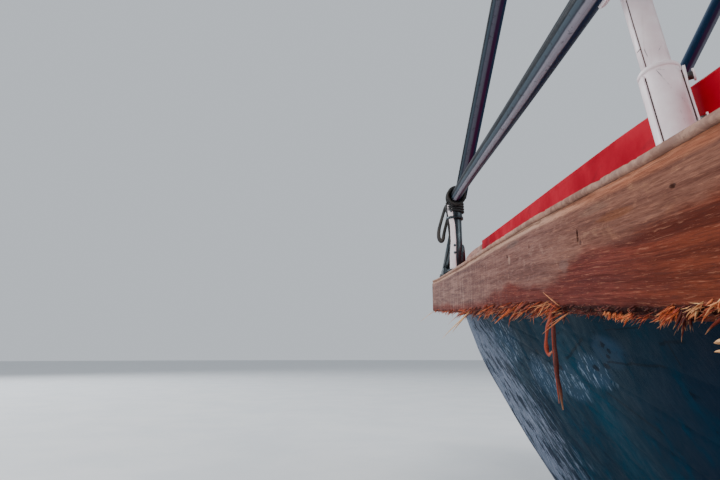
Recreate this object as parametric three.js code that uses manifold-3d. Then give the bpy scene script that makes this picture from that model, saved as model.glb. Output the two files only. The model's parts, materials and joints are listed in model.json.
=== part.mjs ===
// A wooden longtail boat: open hull, heavy sheer planks, steel rails, a canopy and a tail engine on a swivel.
// Millimetres. +X runs forward to the bow, +Y to port and +Z up.
// The origin is on the centreline, amidships, at the waterline.
import * as THREE from "three";
import { mergeVertices } from "three/addons/utils/BufferGeometryUtils.js";
import Module from "manifold-3d";

const wasm = await Module();
wasm.setup();

// Driving dimensions
const BOW_X = 4890; // forward ends of the sheer planks
const STEM_TIP_X = 5220;
const STERN_X = -4800; // forward face of the transom
const GAP = 0.3; // left between pieces that touch
const PLANKING = 28; // hull plank thickness
const KEEL_HALF = 36;
const KEEL_NOSE = 12; // half width of the rounded outer edge of stem and keel
const RABBET = 30; // height of the planking's lower edge above the keel's outer edge
const KEEL_DEEP = 110;
const STEM_HEAD_Z = 992;
const STERN_END = STERN_X - 40; // after end of the planks, level with the transom's after face
const SHEER_PLANK = { thick: 45, deep: 140, deepBow: 162, deepens: 2320 }; // wider from here to the bow
const CAP = 10;
const CAP_INSET = 2; // cap's edge inside the plank's face
const SIDE_DECK = { wide: 170, beam: 30 };
const COAMING = { thick: 18, above: 148, front: 4210, back: -3200 };
const BOW_BEAM = { thick: 60, deep: 80, half: 80 };
const BREASTHOOK = { front: 5078, thick: 30 };
const RIB = { wide: 40, deep: 45, first: 3600, pitch: 800, count: 11, ease: 2.5 };
const FLOOR = { top: -60, thick: 20, front: 2740, back: -3250 };
const RISER = { top: 250, high: 60, thick: 60, sunk: 25, front: 3640, back: -4760 };
const BOARD = 30; // thickness of thwarts and aft deck
const THWARTS = [2250, 950, -350, -1650]; // middles along X
const AFT_DECK = { front: -3400, back: -4795 };
const RAIL = {
  radius: 24,
  above: 322,
  aboveAft: 300,
  inboard: 45,
  inboardAft: 66,
  taper: 1700, // length over which it drops and moves inboard
  front: 4165,
  back: -2740,
};
const BOW_POST = {
  x: 4150,
  radius: 27,
  collar: 31,
  collarHigh: 62,
  headGap: 3.4, // under the rail, which slopes over the collar
  flange: 40,
  plate: 7,
  brace: 11,
  braceReach: 280,
  braceInboard: 25,
};
const STRUT = { radius: 20, foot: [4135, 362, 1192], topY: 430 };
const POST = {
  radius: 21,
  socket: 27,
  socketHigh: 157,
  inboard: 140,
  plate: 8,
  lugHalf: 12,
  lugGap: 1.8, // beside the rail, which curves past the lug's square end
};
const ROOF = { railZ: 2170, radius: 21, inboard: 41, rise: 150, overhang: 85, thick: 14, front: 2920, back: -2800 };
const BOW = { radius: 16, ridge: 14, ridgeDrop: 5, steps: 5, stations: [2900, 1780, 660, -460, -1580, -2700] };

// Canopy posts. Columns: x at the foot, how far the top leans forward
const POSTS = [
  [2544, 220],
  [800, 0],
  [-950, 0],
  [-2700, 0],
];
const PIVOT = new THREE.Vector3(-4700, 0, 1020); // the tail's tilt axis crosses the swivel pin here
const TAIL_DROP = THREE.MathUtils.degToRad(23);
const BED = { half: 700, top: 785, socket: 45, socketTop: 925, pin: 25 };
const YOKE = { half: 110, cheek: 12, plate: 18, top: 45, axle: 15, ease: 8 };
const CRADLE = { front: 800, back: -260, low: 25, high: 75 };
const SHAFT_Z = 170; // shaft above the tilt axis
const ENGINE = { back: 130, front: 640, half: 125, top: 350, bell: 70, bellRadius: 92 };
const TUBE_RADIUS = 38;
const TUBE_WALL = 5;
const TUBE_FRONT = 60 - GAP;
const TUBE_END = -3650;
const STAY = { radius: 9 };
const PROP = { x: -3760, radius: 175, hub: 34, blades: 3, shaft: 15 };
const TILLER = { radius: 17, reach: 1500, drop: -120 };
const TANK = { x: -3680, y: 320, long: 400, wide: 230, high: 300, round: 45 };
const TANK_HANDLE = { back: -100, front: 60, half: 14, high: 46, bar: 18, foot: 24 };
const STARTER = { z: 140, radius: 38, back: 160, front: 365, neck: 26, coil: 20, ear: 25 };
const FILTER = { x: 430, z: 235, radius: 42, long: 95 };
const SUMP = { half: 96, top: 190, ease: 25, flange: 8 };
const STARTER_Y = SUMP.half + STARTER.radius + GAP;
const STARTER_EAR = ENGINE.back - 15; // forward face of the bell housing's ear

// Belt wheels on the engine's front. Columns: y, z, radius
const BELT_WHEELS = [
  [0, 170, 75],
  [190, 300, 35],
  [0, 330, 55],
];

// Hull lines. Columns: x, half breadth to the sheer planks' outer face, height of the sheer
const SHEER_LINE = [
  [STEM_TIP_X, 255, 989],
  [4800, 300, 948],
  [3800, 494, 857],
  [2800, 689, 772],
  [2320, 782, 722],
  [1600, 880, 684],
  [0, 950, 634],
  [-1700, 940, 620],
  [-3200, 880, 626],
  [-4800, 750, 645],
];

// Body sections. Columns: x, bottom of keel or stem, bilge control point out and up, half breadth at the top
const BODY = [
  [5190, 840, 44, 915, 50],
  [5110, 760, 47, 850, 76],
  [4870, 523, 50, 640, 148],
  [4600, 338, 58, 520, 222],
  [4320, 162, 66, 400, 280],
  [4110, 50, 74, 320, 330],
  [3800, -70, 96, 220, 400],
  [3130, -190, 190, 20, 556],
  [2800, -215, 300, -50, 630],
  [2320, -232, 450, -110, 722],
  [1600, -245, 660, -150, 822],
  [0, -250, 860, -165, 893],
  [-1700, -248, 850, -160, 883],
  [-3200, -235, 740, -140, 822],
  [-4800, -205, 590, -110, 690],
];
const SECTION_STEPS = 7;
const LOFT_X = [
  5190, 5110, 4990, 4890, 4800, 4700, 4600, 4460, 4320, 4110, 3960, 3800, 3600, 3360, 3130, 2800, 2400, 2000, 1600,
  1000, 400, -400, -1200, -2000, -2800, -3600, -4200, -4800,
];

// Smooth value of one column of a table whose first column is a falling x
function track(table, column, x) {
  const last = table.length - 1;
  const slope = (i) => {
    const a = table[Math.max(i - 1, 0)];
    const b = table[Math.min(i + 1, last)];
    return (b[column] - a[column]) / (b[0] - a[0]);
  };
  const found = table.findIndex((row) => row[0] <= x);
  const next = found < 0 ? last : Math.max(found, 1);
  const [a, b] = [table[next - 1], table[next]];
  const span = b[0] - a[0];
  const t = (x - a[0]) / span;
  const hermite = [2 * t ** 3 - 3 * t * t + 1, t ** 3 - 2 * t * t + t, 3 * t * t - 2 * t ** 3, t ** 3 - t * t];
  return (
    hermite[0] * a[column] +
    hermite[1] * span * slope(next - 1) +
    hermite[2] * b[column] +
    hermite[3] * span * slope(next)
  );
}

// A smooth value made straight between the hull's stations, as the planks are
function stationed(value) {
  return (x) => {
    const found = LOFT_X.findIndex((station) => station <= x);
    const next = found < 0 ? LOFT_X.length - 1 : Math.max(found, 1);
    const [a, b] = [LOFT_X[next - 1], LOFT_X[next]];
    return THREE.MathUtils.mapLinear(x, a, b, value(a), value(b));
  };
}

const beam = stationed((x) => track(SHEER_LINE, 1, x));
const sheer = stationed((x) => track(SHEER_LINE, 2, x));
const keelZ = (x) => track(BODY, 1, x);
const keelSlant = (x) => Math.hypot(1, (keelZ(x + 5) - keelZ(x - 5)) / 10);
const deckUnder = (x) => sheer(x) - CAP - SIDE_DECK.beam;

// A point beside the sheer: x, distance inboard of the sheer plank's face, height above the cap
const onBoat = (x, inboard, above) => new THREE.Vector3(x, beam(x) - inboard, sheer(x) + above);

// Solids
const steel = { color: 0x4d544f, roughness: 0.5, metalness: 0.8 };
const FINISH = {
  hull_paint: { color: 0x0f4257, roughness: 0.45, metalness: 0 },
  keel_paint: { color: 0x14313f, roughness: 0.55, metalness: 0 },
  plank_wood: { color: 0x9a6140, roughness: 0.85, metalness: 0 },
  cap_wood: { color: 0x8d7466, roughness: 0.8, metalness: 0 },
  deck_wood: { color: 0x7a5c43, roughness: 0.8, metalness: 0 },
  frame_wood: { color: 0x6b4a35, roughness: 0.8, metalness: 0 },
  red_paint: { color: 0xb9122b, roughness: 0.5, metalness: 0 },
  rail_steel: steel,
  white_pipe: { color: 0xcfc5c4, roughness: 0.5, metalness: 0 },
  canopy_cloth: { color: 0x1f4f74, roughness: 0.8, metalness: 0 },
  engine_iron: { color: 0x3b4a45, roughness: 0.6, metalness: 0.5 },
  engine_alloy: { color: 0x9a9c9b, roughness: 0.45, metalness: 0.9 },
  exhaust_steel: { color: 0x5c3f30, roughness: 0.8, metalness: 0.5 },
  cleaner_black: { color: 0x17181a, roughness: 0.5, metalness: 0.2 },
  filter_paint: { color: 0xb8641e, roughness: 0.45, metalness: 0.1 },
  tank_plastic: { color: 0xd8d2bd, roughness: 0.5, metalness: 0 },
  grip_rubber: { color: 0x1c1c1c, roughness: 0.8, metalness: 0 },
  prop_brass: { color: 0xa0823f, roughness: 0.35, metalness: 0.9 },
};

const boat = new THREE.Group();

function add(parent, name, finish, geometry) {
  const mesh = new THREE.Mesh(geometry, new THREE.MeshStandardMaterial(FINISH[finish]));
  mesh.name = name;
  parent.add(mesh);
  return mesh;
}

// Port piece as drawn and its mirror image to starboard
function addPair(name, finish, geometry) {
  add(boat, name + "_port", finish, geometry);
  add(boat, name + "_starboard", finish, geometry).scale.y = -1;
}

function solid(geometry) {
  const bare = geometry.clone();
  bare.deleteAttribute("normal");
  bare.deleteAttribute("uv");
  const merged = mergeVertices(bare, 1e-3);
  const mesh = new wasm.Mesh({
    numProp: 3,
    vertProperties: merged.attributes.position.array,
    triVerts: new Uint32Array(merged.index.array),
  });
  const made = new wasm.Manifold(mesh);
  if (made.volume() > 0) return made;
  mesh.triVerts = mesh.triVerts.reverse();
  return new wasm.Manifold(mesh);
}

function geometryOf(made) {
  const mesh = made.getMesh();
  const geometry = new THREE.BufferGeometry();
  geometry.setAttribute("position", new THREE.BufferAttribute(mesh.vertProperties, 3));
  geometry.setIndex(new THREE.BufferAttribute(mesh.triVerts, 1));
  return geometry;
}

const join = (...parts) => geometryOf(parts.map(solid).reduce((a, b) => a.add(b)));
const cut = (part, ...holes) => geometryOf(holes.map(solid).reduce((a, b) => a.subtract(b), solid(part)));

const flatArea = (points) => THREE.ShapeUtils.area(points.map((p) => new THREE.Vector2(p.y, p.z)));

// A closed body through rings of points, each ring lying across the X axis
function loft(rings) {
  const ordered = rings[0][0].x > rings.at(-1)[0].x ? rings : [...rings].reverse();
  const turned = ordered.map((points) => (flatArea(points) > 0 ? points : [...points].reverse()));
  const count = turned[0].length;
  const index = [];
  for (let r = 0; r + 1 < turned.length; r++)
    for (let i = 0; i < count; i++) {
      const a = r * count + i;
      const b = r * count + ((i + 1) % count);
      index.push(a, b + count, b, a, a + count, b + count);
    }
  const cap = (points, first, facing) => {
    const outline = points.map((p) => new THREE.Vector2(p.y, p.z));
    for (const face of THREE.ShapeUtils.triangulateShape(outline, [])) {
      const wanted = Math.sign(flatArea(face.map((i) => points[i]))) === facing;
      index.push(...(wanted ? face : [...face].reverse()).map((i) => i + first));
    }
  };
  cap(turned[0], 0, 1);
  cap(turned.at(-1), (turned.length - 1) * count, -1);
  const geometry = new THREE.BufferGeometry().setFromPoints(turned.flat());
  geometry.setIndex(index);
  return geometry;
}

const ring = (x, flat) => flat.map(([y, z]) => new THREE.Vector3(x, y, z));

const box = (low, high) =>
  new THREE.BoxGeometry(high[0] - low[0], high[1] - low[1], high[2] - low[2]).translate(
    (low[0] + high[0]) / 2,
    (low[1] + high[1]) / 2,
    (low[2] + high[2]) / 2,
  );

// Straight round bar between two points
function bar(from, to, radius, sides = 12) {
  const along = to.clone().sub(from);
  const rod = new THREE.CylinderGeometry(radius, radius, along.length(), sides);
  const turn = new THREE.Quaternion().setFromUnitVectors(new THREE.Vector3(0, 1, 0), along.normalize());
  return rod.applyQuaternion(turn).translate(...from.clone().add(to).multiplyScalar(0.5).toArray());
}

function tubeAlong(curve, radius, steps, sides = 10) {
  const section = new THREE.Shape();
  section.absarc(0, 0, radius, 0, Math.PI * 2);
  return new THREE.ExtrudeGeometry(section, {
    extrudePath: curve,
    steps,
    bevelEnabled: false,
    curveSegments: sides / 2,
  });
}

const v = (x, y, z) => new THREE.Vector3(x, y, z);

// Hull planking: outer curve of a section from the keel to the deck
function outerCurve(x) {
  const low = [KEEL_HALF + GAP, keelZ(x) + RABBET * keelSlant(x)];
  const top = [track(BODY, 4, x), deckUnder(x) - GAP];
  const bilge = [Math.max(track(BODY, 2, x), low[0] + 3), track(BODY, 3, x)];
  const curve = new THREE.QuadraticBezierCurve(
    new THREE.Vector2(...low),
    new THREE.Vector2(...bilge),
    new THREE.Vector2(...top),
  );
  return Array.from({ length: SECTION_STEPS + 1 }, (_, i) => {
    const t = i / SECTION_STEPS;
    const at = curve.getPoint(t);
    const way = curve.getTangent(t);
    return { y: at.x, z: at.y, inY: -way.y, inZ: way.x };
  });
}

// Inner face of the planking, kept clear of the keel
function innerCurve(x) {
  const top = deckUnder(x) - GAP;
  return outerCurve(x).map((p, i) => {
    const last = i === SECTION_STEPS;
    const y = last ? p.y + PLANKING / p.inY : p.y + p.inY * PLANKING;
    const z = last ? top : Math.min(p.z + p.inZ * PLANKING, top - 2 * (SECTION_STEPS - i));
    return [Math.max(y, KEEL_HALF + GAP), z];
  });
}

function planking() {
  const rings = LOFT_X.map((x) => {
    const outer = outerCurve(x).map((p) => [p.y, p.z]);
    return ring(x, [...outer, ...innerCurve(x).reverse()]);
  });
  return loft(rings);
}

// Inner face between the stations, straight from one station to the next as the planking is
function innerAt(x) {
  const found = LOFT_X.findIndex((station) => station <= x);
  const next = found < 0 ? LOFT_X.length - 1 : Math.max(found, 1);
  const [a, b] = [LOFT_X[next - 1], LOFT_X[next]];
  const share = (x - a) / (b - a);
  const [from, to] = [innerCurve(a), innerCurve(b)];
  return from.map(([y, z], i) => [y + (to[i][0] - y) * share, z + (to[i][1] - z) * share]);
}

// Half breadth inside the planking at a height
function insideBreadth(x, z) {
  const face = innerAt(x);
  const next = THREE.MathUtils.clamp(face.findIndex((p) => p[1] >= z), 1, face.length - 1);
  const [a, b] = [face[next - 1], face[next]];
  return a[0] + ((b[0] - a[0]) * (z - a[1])) / (b[1] - a[1]);
}

function keelAndStem() {
  const places = [STEM_TIP_X, ...LOFT_X.slice(0, -1), STERN_X + GAP];
  const rings = places.map((x) => {
    const slant = keelSlant(x);
    const low = keelZ(x);
    const rabbet = Math.min(low + RABBET * slant, STEM_HEAD_Z - 12);
    const top = Math.min(low + KEEL_DEEP * slant, STEM_HEAD_Z);
    const half = [
      [KEEL_NOSE, low],
      [KEEL_HALF, rabbet],
      [KEEL_HALF, top],
    ];
    return ring(x, [...half, ...half.map(([y, z]) => [-y, z]).reverse()]);
  });
  return loft(rings);
}

function transom() {
  const half = outerCurve(STERN_X).map((p) => [p.y, p.z]);
  const keel = keelZ(STERN_X);
  const outline = [[KEEL_HALF, keel], ...half];
  const shape = [...outline, ...outline.map(([y, z]) => [-y, z]).reverse()];
  return loft([ring(STERN_X - GAP, shape), ring(STERN_X - 40, shape)]);
}

// Stations of a lengthwise piece: its two ends and the hull's own stations between them
const stations = (front, back) => [front, ...LOFT_X.filter((x) => x < front - 1 && x > back + 1), back];

// Lengthwise piece whose four-sided section is given by y and z limits at each station
function lengthwise(front, back, section) {
  return loft(stations(front, back).map((x) => ring(x, section(x))));
}

const rectangle = (y0, y1, z0, z1) => [
  [y0, z0],
  [y1, z0],
  [y1, z1],
  [y0, z1],
];

// The space inside the planking at a station, drawn in from it and closed at the floor
function insideOutline(x, shift, floorZ, topZ) {
  const half = innerAt(x).map(([y, z], i) => [
    Math.max(y - shift, 5 + i),
    Math.max(z + RIB.ease, floorZ - (SECTION_STEPS - i) / 2),
  ]);
  half.at(-1)[1] = topZ;
  return [...half, ...half.map(([y, z]) => [-y, z]).reverse()];
}

const floorHalf = (x) => insideBreadth(x, FLOOR.top - FLOOR.thick) - RIB.ease - RIB.deep - 4;

function rib(x) {
  const ends = [x + RIB.wide / 2, x - RIB.wide / 2];
  const keelTop = Math.max(...ends.map((at) => keelZ(at) + KEEL_DEEP * keelSlant(at)));
  const floorTop = Math.max(FLOOR.top - FLOOR.thick - GAP, keelTop + RIB.deep);
  const underDeck = (at) => innerAt(at).at(-1)[1] - 1;
  const whole = loft(ends.map((at) => ring(at, insideOutline(at, RIB.ease, -1e4, underDeck(at)))));
  const clear = [ends[0] + 1, ends[1] - 1];
  const inside = loft(
    clear.map((at) => ring(at, insideOutline(at, RIB.ease + RIB.deep, floorTop, underDeck(at) + 100))),
  );
  const keelSlot = box([x - 50, -KEEL_HALF - GAP, -1e3], [x + 50, KEEL_HALF + GAP, keelTop + 4]);
  const floorEdge = Math.max(...ends.map(floorHalf)) + 2;
  const underFloor = FLOOR.top - FLOOR.thick - GAP;
  const floorSlot = box([x - 50, -floorEdge, underFloor], [x + 50, floorEdge, FLOOR.top + 2]);
  const hasFloor = x < FLOOR.front + RIB.wide && x > FLOOR.back - RIB.wide;
  return hasFloor ? cut(whole, inside, keelSlot, floorSlot) : cut(whole, inside, keelSlot);
}

function riser() {
  const { front, back, top, high, thick, sunk } = RISER;
  return lengthwise(front, back, (x) => {
    const outer = insideBreadth(x, top - high) - RIB.ease - sunk;
    return rectangle(outer - thick, outer, top - high, top);
  });
}

const mirrored = (geometry) => {
  const flipped = geometry.clone().scale(1, -1, 1);
  flipped.setIndex([...flipped.index.array].reverse());
  return flipped;
};

function frames() {
  const ribs = Array.from({ length: RIB.count }, (_, i) => rib(RIB.first - i * RIB.pitch));
  return join(...ribs, riser(), mirrored(riser()));
}

// A board that spans the boat inside the ribs and rests on the risers
function crossBoard(front, back) {
  return lengthwise(front, back, (x) => {
    const half = insideBreadth(x, RISER.top) - RIB.ease - RIB.deep - 4;
    return rectangle(-half, half, RISER.top + GAP, RISER.top + BOARD);
  });
}

function floorboards() {
  return lengthwise(FLOOR.front, FLOOR.back, (x) => {
    return rectangle(-floorHalf(x), floorHalf(x), FLOOR.top - FLOOR.thick, FLOOR.top);
  });
}

function sideDeck() {
  return lengthwise(BOW_X, STERN_END, (x) => {
    const [y, z] = [beam(x), sheer(x)];
    const inside = y - SHEER_PLANK.thick - GAP;
    return [
      [y - CAP_INSET, z - CAP],
      [y - CAP_INSET, z],
      [y - SIDE_DECK.wide, z],
      [y - SIDE_DECK.wide, z - CAP - SIDE_DECK.beam],
      [inside, z - CAP - SIDE_DECK.beam],
      [inside, z - CAP],
    ];
  });
}

function plankDeep(x) {
  const share = THREE.MathUtils.clamp((x - SHEER_PLANK.deepens) / (BOW_X - SHEER_PLANK.deepens), 0, 1);
  return THREE.MathUtils.lerp(SHEER_PLANK.deep, SHEER_PLANK.deepBow, share);
}

function sheerPlank() {
  return lengthwise(BOW_X, STERN_END, (x) => {
    const top = sheer(x) - CAP - GAP;
    return rectangle(beam(x) - SHEER_PLANK.thick, beam(x), top - plankDeep(x), top);
  });
}

function coaming() {
  return lengthwise(COAMING.front, COAMING.back, (x) => {
    const outer = beam(x) - SIDE_DECK.wide - GAP;
    return rectangle(outer - COAMING.thick, outer, deckUnder(x), sheer(x) + COAMING.above);
  });
}

function foredeck() {
  const { thick, deep, half } = BOW_BEAM;
  const boards = lengthwise(BOW_X, COAMING.front + 2, (x) => {
    const edge = beam(x) - SIDE_DECK.wide - GAP;
    return rectangle(-edge, edge, deckUnder(x), sheer(x));
  });
  const beamUnder = lengthwise(BOW_X - 1, BOW_X - 1 - thick, (x) =>
    rectangle(-half, half, deckUnder(x) - deep, deckUnder(x) + 5),
  );
  return join(boards, beamUnder);
}

function breasthook() {
  return lengthwise(BREASTHOOK.front, BOW_X + GAP, (x) => {
    const half = track(BODY, 4, x);
    return rectangle(-half, half, deckUnder(x), deckUnder(x) + BREASTHOOK.thick);
  });
}

// Steel rails, posts and canopy frame
function railAt(x) {
  const share = THREE.MathUtils.smoothstep(RAIL.front - x, 0, RAIL.taper);
  const { lerp } = THREE.MathUtils;
  return onBoat(x, lerp(RAIL.inboard, RAIL.inboardAft, share), lerp(RAIL.above, RAIL.aboveAft, share));
}

function railPath() {
  const points = Array.from({ length: 14 }, (_, i) => railAt(THREE.MathUtils.lerp(RAIL.front, RAIL.back, i / 13)));
  return new THREE.CatmullRomCurve3(points);
}

const sideRail = (extra = 0) => tubeAlong(railPath(), RAIL.radius + extra, 16);

function bowPost() {
  const foot = onBoat(BOW_POST.x, RAIL.inboard, 0);
  const top = railAt(BOW_POST.x).z - RAIL.radius - BOW_POST.headGap;
  const at = (z) => v(foot.x, foot.y, z);
  const base = sheer(BOW_POST.x + BOW_POST.flange) + GAP;
  const braceFoot = onBoat(BOW_POST.x + BOW_POST.braceReach, BOW_POST.braceInboard, 0);
  const braceBase = sheer(braceFoot.x + 35) + GAP;
  return join(
    bar(at(base), at(top), BOW_POST.radius, 16),
    bar(at(base), at(base + BOW_POST.plate), BOW_POST.flange, 16),
    bar(at(top - BOW_POST.collarHigh), at(top), BOW_POST.collar, 16),
    bar(v(braceFoot.x, braceFoot.y, braceBase + 10), at(top - BOW_POST.collarHigh * 2), BOW_POST.brace, 8),
    box(
      [braceFoot.x - 35, braceFoot.y - 20, braceBase],
      [braceFoot.x + 35, braceFoot.y + 20, braceBase + BOW_POST.plate],
    ),
  );
}

const roofEdge = (x) => beam(x) - ROOF.inboard;

function roofRail() {
  const points = Array.from({ length: 12 }, (_, i) => {
    const x = THREE.MathUtils.lerp(ROOF.front, ROOF.back, i / 11);
    return v(x, roofEdge(x), ROOF.railZ);
  });
  return tubeAlong(new THREE.CatmullRomCurve3(points), ROOF.radius, 12);
}

// Strut from the bow post's head up and aft to the first canopy bow
function canopyStrut() {
  const foot = v(...STRUT.foot);
  const front = BOW.stations[0];
  const head = v(front, STRUT.topY, bowZ(STRUT.topY / roofEdge(front)));
  const end = foot.clone().sub(head).setLength(4).add(head);
  const collarTop = onBoat(BOW_POST.x, RAIL.inboard, RAIL.above - RAIL.radius - 2);
  const collar = bar(collarTop.clone().setZ(collarTop.z - 80), collarTop.clone().setZ(collarTop.z + GAP), 60, 16);
  return cut(bar(foot, end, STRUT.radius, 14), sideRail(2 * GAP), collar, canopyBow(front, 2 * GAP));
}

function canopyPost(footX, lean) {
  const base = Math.max(sheer(footX - 50), sheer(footX + 50)) + GAP;
  const foot = v(footX, beam(footX) - POST.inboard, base + 5);
  const headX = footX + lean;
  const head = v(headX, roofEdge(headX), ROOF.railZ);
  const along = head.clone().sub(foot).normalize();
  const up = (length) => foot.clone().addScaledVector(along, length);
  const lug = up((railAt(footX).z - foot.z) / along.z);
  const lugEnd = railAt(lug.x).y - RAIL.radius - POST.lugGap;
  return join(
    bar(foot, up(head.distanceTo(foot) - ROOF.radius - (lean ? 4 : 3 * GAP)), POST.radius),
    bar(foot, up(POST.socketHigh), POST.socket, 16),
    box([footX - 50, foot.y - 18, base], [footX + 50, foot.y + 42, base + POST.plate]),
    box(
      [lug.x - POST.lugHalf, lug.y, lug.z - POST.lugHalf],
      [lug.x + POST.lugHalf, lugEnd, lug.z + POST.lugHalf],
    ),
  );
}

// Height of the bows' centre line over the boat, y in shares of the half breadth between the roof rails
const bowBase = () => ROOF.railZ + ROOF.radius + BOW.radius - 0.65;
const bowZ = (share) => bowBase() + ROOF.rise * (1 - share * share);
const BOW_SHARES = Array.from({ length: 2 * BOW.steps + 1 }, (_, i) => i / BOW.steps - 1);

function canopyBow(x, extra = 0) {
  const points = BOW_SHARES.map((share) => v(x, share * roofEdge(x), bowZ(share)));
  const path = new THREE.CurvePath();
  points.slice(1).forEach((p, i) => path.add(new THREE.LineCurve3(points[i], p)));
  return tubeAlong(path, BOW.radius + extra, BOW.steps * 2, 8);
}

function canopyBows() {
  const arcs = BOW.stations.map((x) => canopyBow(x));
  const ridgeZ = bowZ(0) - BOW.ridgeDrop;
  const ridge = bar(v(BOW.stations[0] + 2, 0, ridgeZ), v(BOW.stations.at(-1) - 2, 0, ridgeZ), BOW.ridge, 9);
  return join(...arcs, ridge);
}

function canopyRoof() {
  const ends = [ROOF.front + 40, ...BOW.stations, ROOF.back - 40];
  const rings = ends.map((x) => {
    const edge = roofEdge(x);
    const over = 1 + ROOF.overhang / edge;
    const shares = [-over, ...BOW_SHARES, over];
    const under = shares.map((share) => [share * edge, bowZ(share) + BOW.radius + 2.5]);
    const top = under.map(([y, z]) => [y, z + ROOF.thick]).reverse();
    return ring(x, [...under, ...top]);
  });
  return loft(rings);
}

// Engine bed, swivel and tail, in frames of their own
function engineBed() {
  const low = sheer(STERN_X) + GAP;
  const at = (z) => v(PIVOT.x, 0, z);
  const timber = box([PIVOT.x - 90, -BED.half, low], [PIVOT.x + 90, BED.half, BED.top]);
  const post = bar(at(BED.top - 5), at(BED.socketTop), BED.socket, 20);
  const bore = bar(at(BED.top + 10), at(BED.socketTop + 5), BED.pin + 2, 20);
  return cut(join(timber, post), bore);
}

function swivelYoke() {
  const floor = BED.socketTop - PIVOT.z;
  const pinEnd = BED.top + 20 - PIVOT.z;
  const cheek = (y) => box([-45, y, floor + 10], [45, y + YOKE.cheek, YOKE.top]);
  return join(
    bar(v(0, 0, pinEnd), v(0, 0, floor + 8), BED.pin, 20),
    box([-60, -YOKE.half, floor + GAP], [60, YOKE.half, floor + YOKE.plate]),
    cheek(-YOKE.half),
    cheek(YOKE.half - YOKE.cheek),
    bar(v(0, -YOKE.half + 2, 0), v(0, YOKE.half - 2, 0), YOKE.axle, 16),
  );
}

function engineCradle() {
  const half = YOKE.half - YOKE.cheek - YOKE.ease;
  const { front, back, low, high } = CRADLE;
  const channel = (y) => box([back, y, low], [front, y + 26, high]);
  const plate = (x) => box([x, -half, low], [x + 20, half, high]);
  const saddle = box([back, -55, high - 5], [back + 30, 55, SHAFT_Z + TUBE_RADIUS + 14]);
  const whole = join(
    bar(v(0, -half, 0), v(0, half, 0), YOKE.axle + 16, 20),
    channel(-half),
    channel(half - 26),
    plate(back),
    plate(front - 20),
    saddle,
  );
  const bore = bar(v(0, -half - 5, 0), v(0, half + 5, 0), YOKE.axle + 0.7, 20);
  const tubeHole = bar(v(back - 5, 0, SHAFT_Z), v(back + 40, 0, SHAFT_Z), TUBE_RADIUS + 1.2, 24);
  return cut(whole, bore, tubeHole);
}

function engineBlock() {
  const { front, back, half, top } = ENGINE;
  const flange = half + SUMP.flange;
  return join(
    box([back, -half, SUMP.top - 5], [front, half, top]),
    box([back, -flange, SUMP.top - 10], [front, flange, SUMP.top]),
    box([back + SUMP.ease, -SUMP.half, CRADLE.high + GAP], [front - SUMP.ease, SUMP.half, SUMP.top - 5]),
    bar(v(back - ENGINE.bell, 0, SHAFT_Z), v(back + 5, 0, SHAFT_Z), ENGINE.bellRadius, 24),
    box([STARTER_EAR - STARTER.ear, 60, SHAFT_Z - 62], [STARTER_EAR, STARTER_Y + STARTER.neck, SHAFT_Z + 4]),
  );
}

function starterMotor() {
  const { back, front, radius, z, neck, coil } = STARTER;
  const coilZ = z - radius - coil / 2;
  return join(
    bar(v(back, STARTER_Y, z), v(front, STARTER_Y, z), radius, 18),
    bar(v(STARTER_EAR + GAP, STARTER_Y, z), v(back + 5, STARTER_Y, z), neck, 16),
    bar(v(back + 20, STARTER_Y, coilZ), v(front - 70, STARTER_Y, coilZ), coil, 14),
  );
}

function oilFilter() {
  const { x, z, radius, long } = FILTER;
  const from = -ENGINE.half - GAP;
  return join(
    bar(v(x, from, z), v(x, from - 18, z), radius - 14, 14),
    bar(v(x, from - 14, z), v(x, from - long, z), radius, 20),
  );
}

function engineHead() {
  const { front, back, top } = ENGINE;
  return join(
    box([back + 20, -78, top + GAP], [front - 20, 78, top + 85]),
    box([back + 40, -48, top + 80], [front - 40, 48, top + 110]),
    bar(v(back + 40, 0, top + 108), v(front - 40, 0, top + 108), 44, 16),
    box([back + 70, 70, top + 20], [front - 90, 150, top + 75]),
  );
}

function exhaust() {
  const logY = -165;
  const logZ = ENGINE.top + 45;
  const runners = [0, 1, 2, 3].map((i) => {
    const x = ENGINE.back + 80 + i * 110;
    return bar(v(x, -78 - GAP, logZ), v(x, logY, logZ), 17, 10);
  });
  const rise = new THREE.CatmullRomCurve3([
    v(ENGINE.back + 90, logY, logZ),
    v(ENGINE.back + 10, logY - 4, logZ + 4),
    v(ENGINE.back - 50, logY - 8, logZ + 70),
    v(ENGINE.back - 70, logY - 10, logZ + 200),
    v(ENGINE.back - 85, logY - 12, logZ + 420),
  ]);
  const log = bar(v(ENGINE.back + 60, logY, logZ), v(ENGINE.back + 440, logY, logZ), 28, 12);
  return join(log, ...runners, tubeAlong(rise, 24, 10, 8));
}

function airCleaner() {
  const x = ENGINE.back + 200;
  const base = ENGINE.top + 108 + 44;
  return join(
    bar(v(x, 0, base + GAP), v(x, 0, base + 25), 28, 16),
    bar(v(x, 0, base + 20), v(x, 0, base + 95), 108, 22),
    bar(v(x, 0, base + 90), v(x, 0, base + 105), 14, 10),
  );
}

// Outline of a band round wheels given as [y, z, radius] in counter-clockwise order
function bandOutline(wheels, extra) {
  const outline = new THREE.Shape();
  wheels.forEach(([y, z, r], i) => {
    const tangent = (from, to) => {
      const gap = Math.hypot(to[0] - from[0], to[1] - from[1]);
      const heading = Math.atan2(to[1] - from[1], to[0] - from[0]);
      return heading - Math.acos((from[2] - to[2]) / gap);
    };
    const before = wheels[(i + wheels.length - 1) % wheels.length];
    const after = wheels[(i + 1) % wheels.length];
    outline.absarc(y, z, r + extra, tangent(before, [y, z, r]), tangent([y, z, r], after), false);
  });
  return outline;
}

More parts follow.
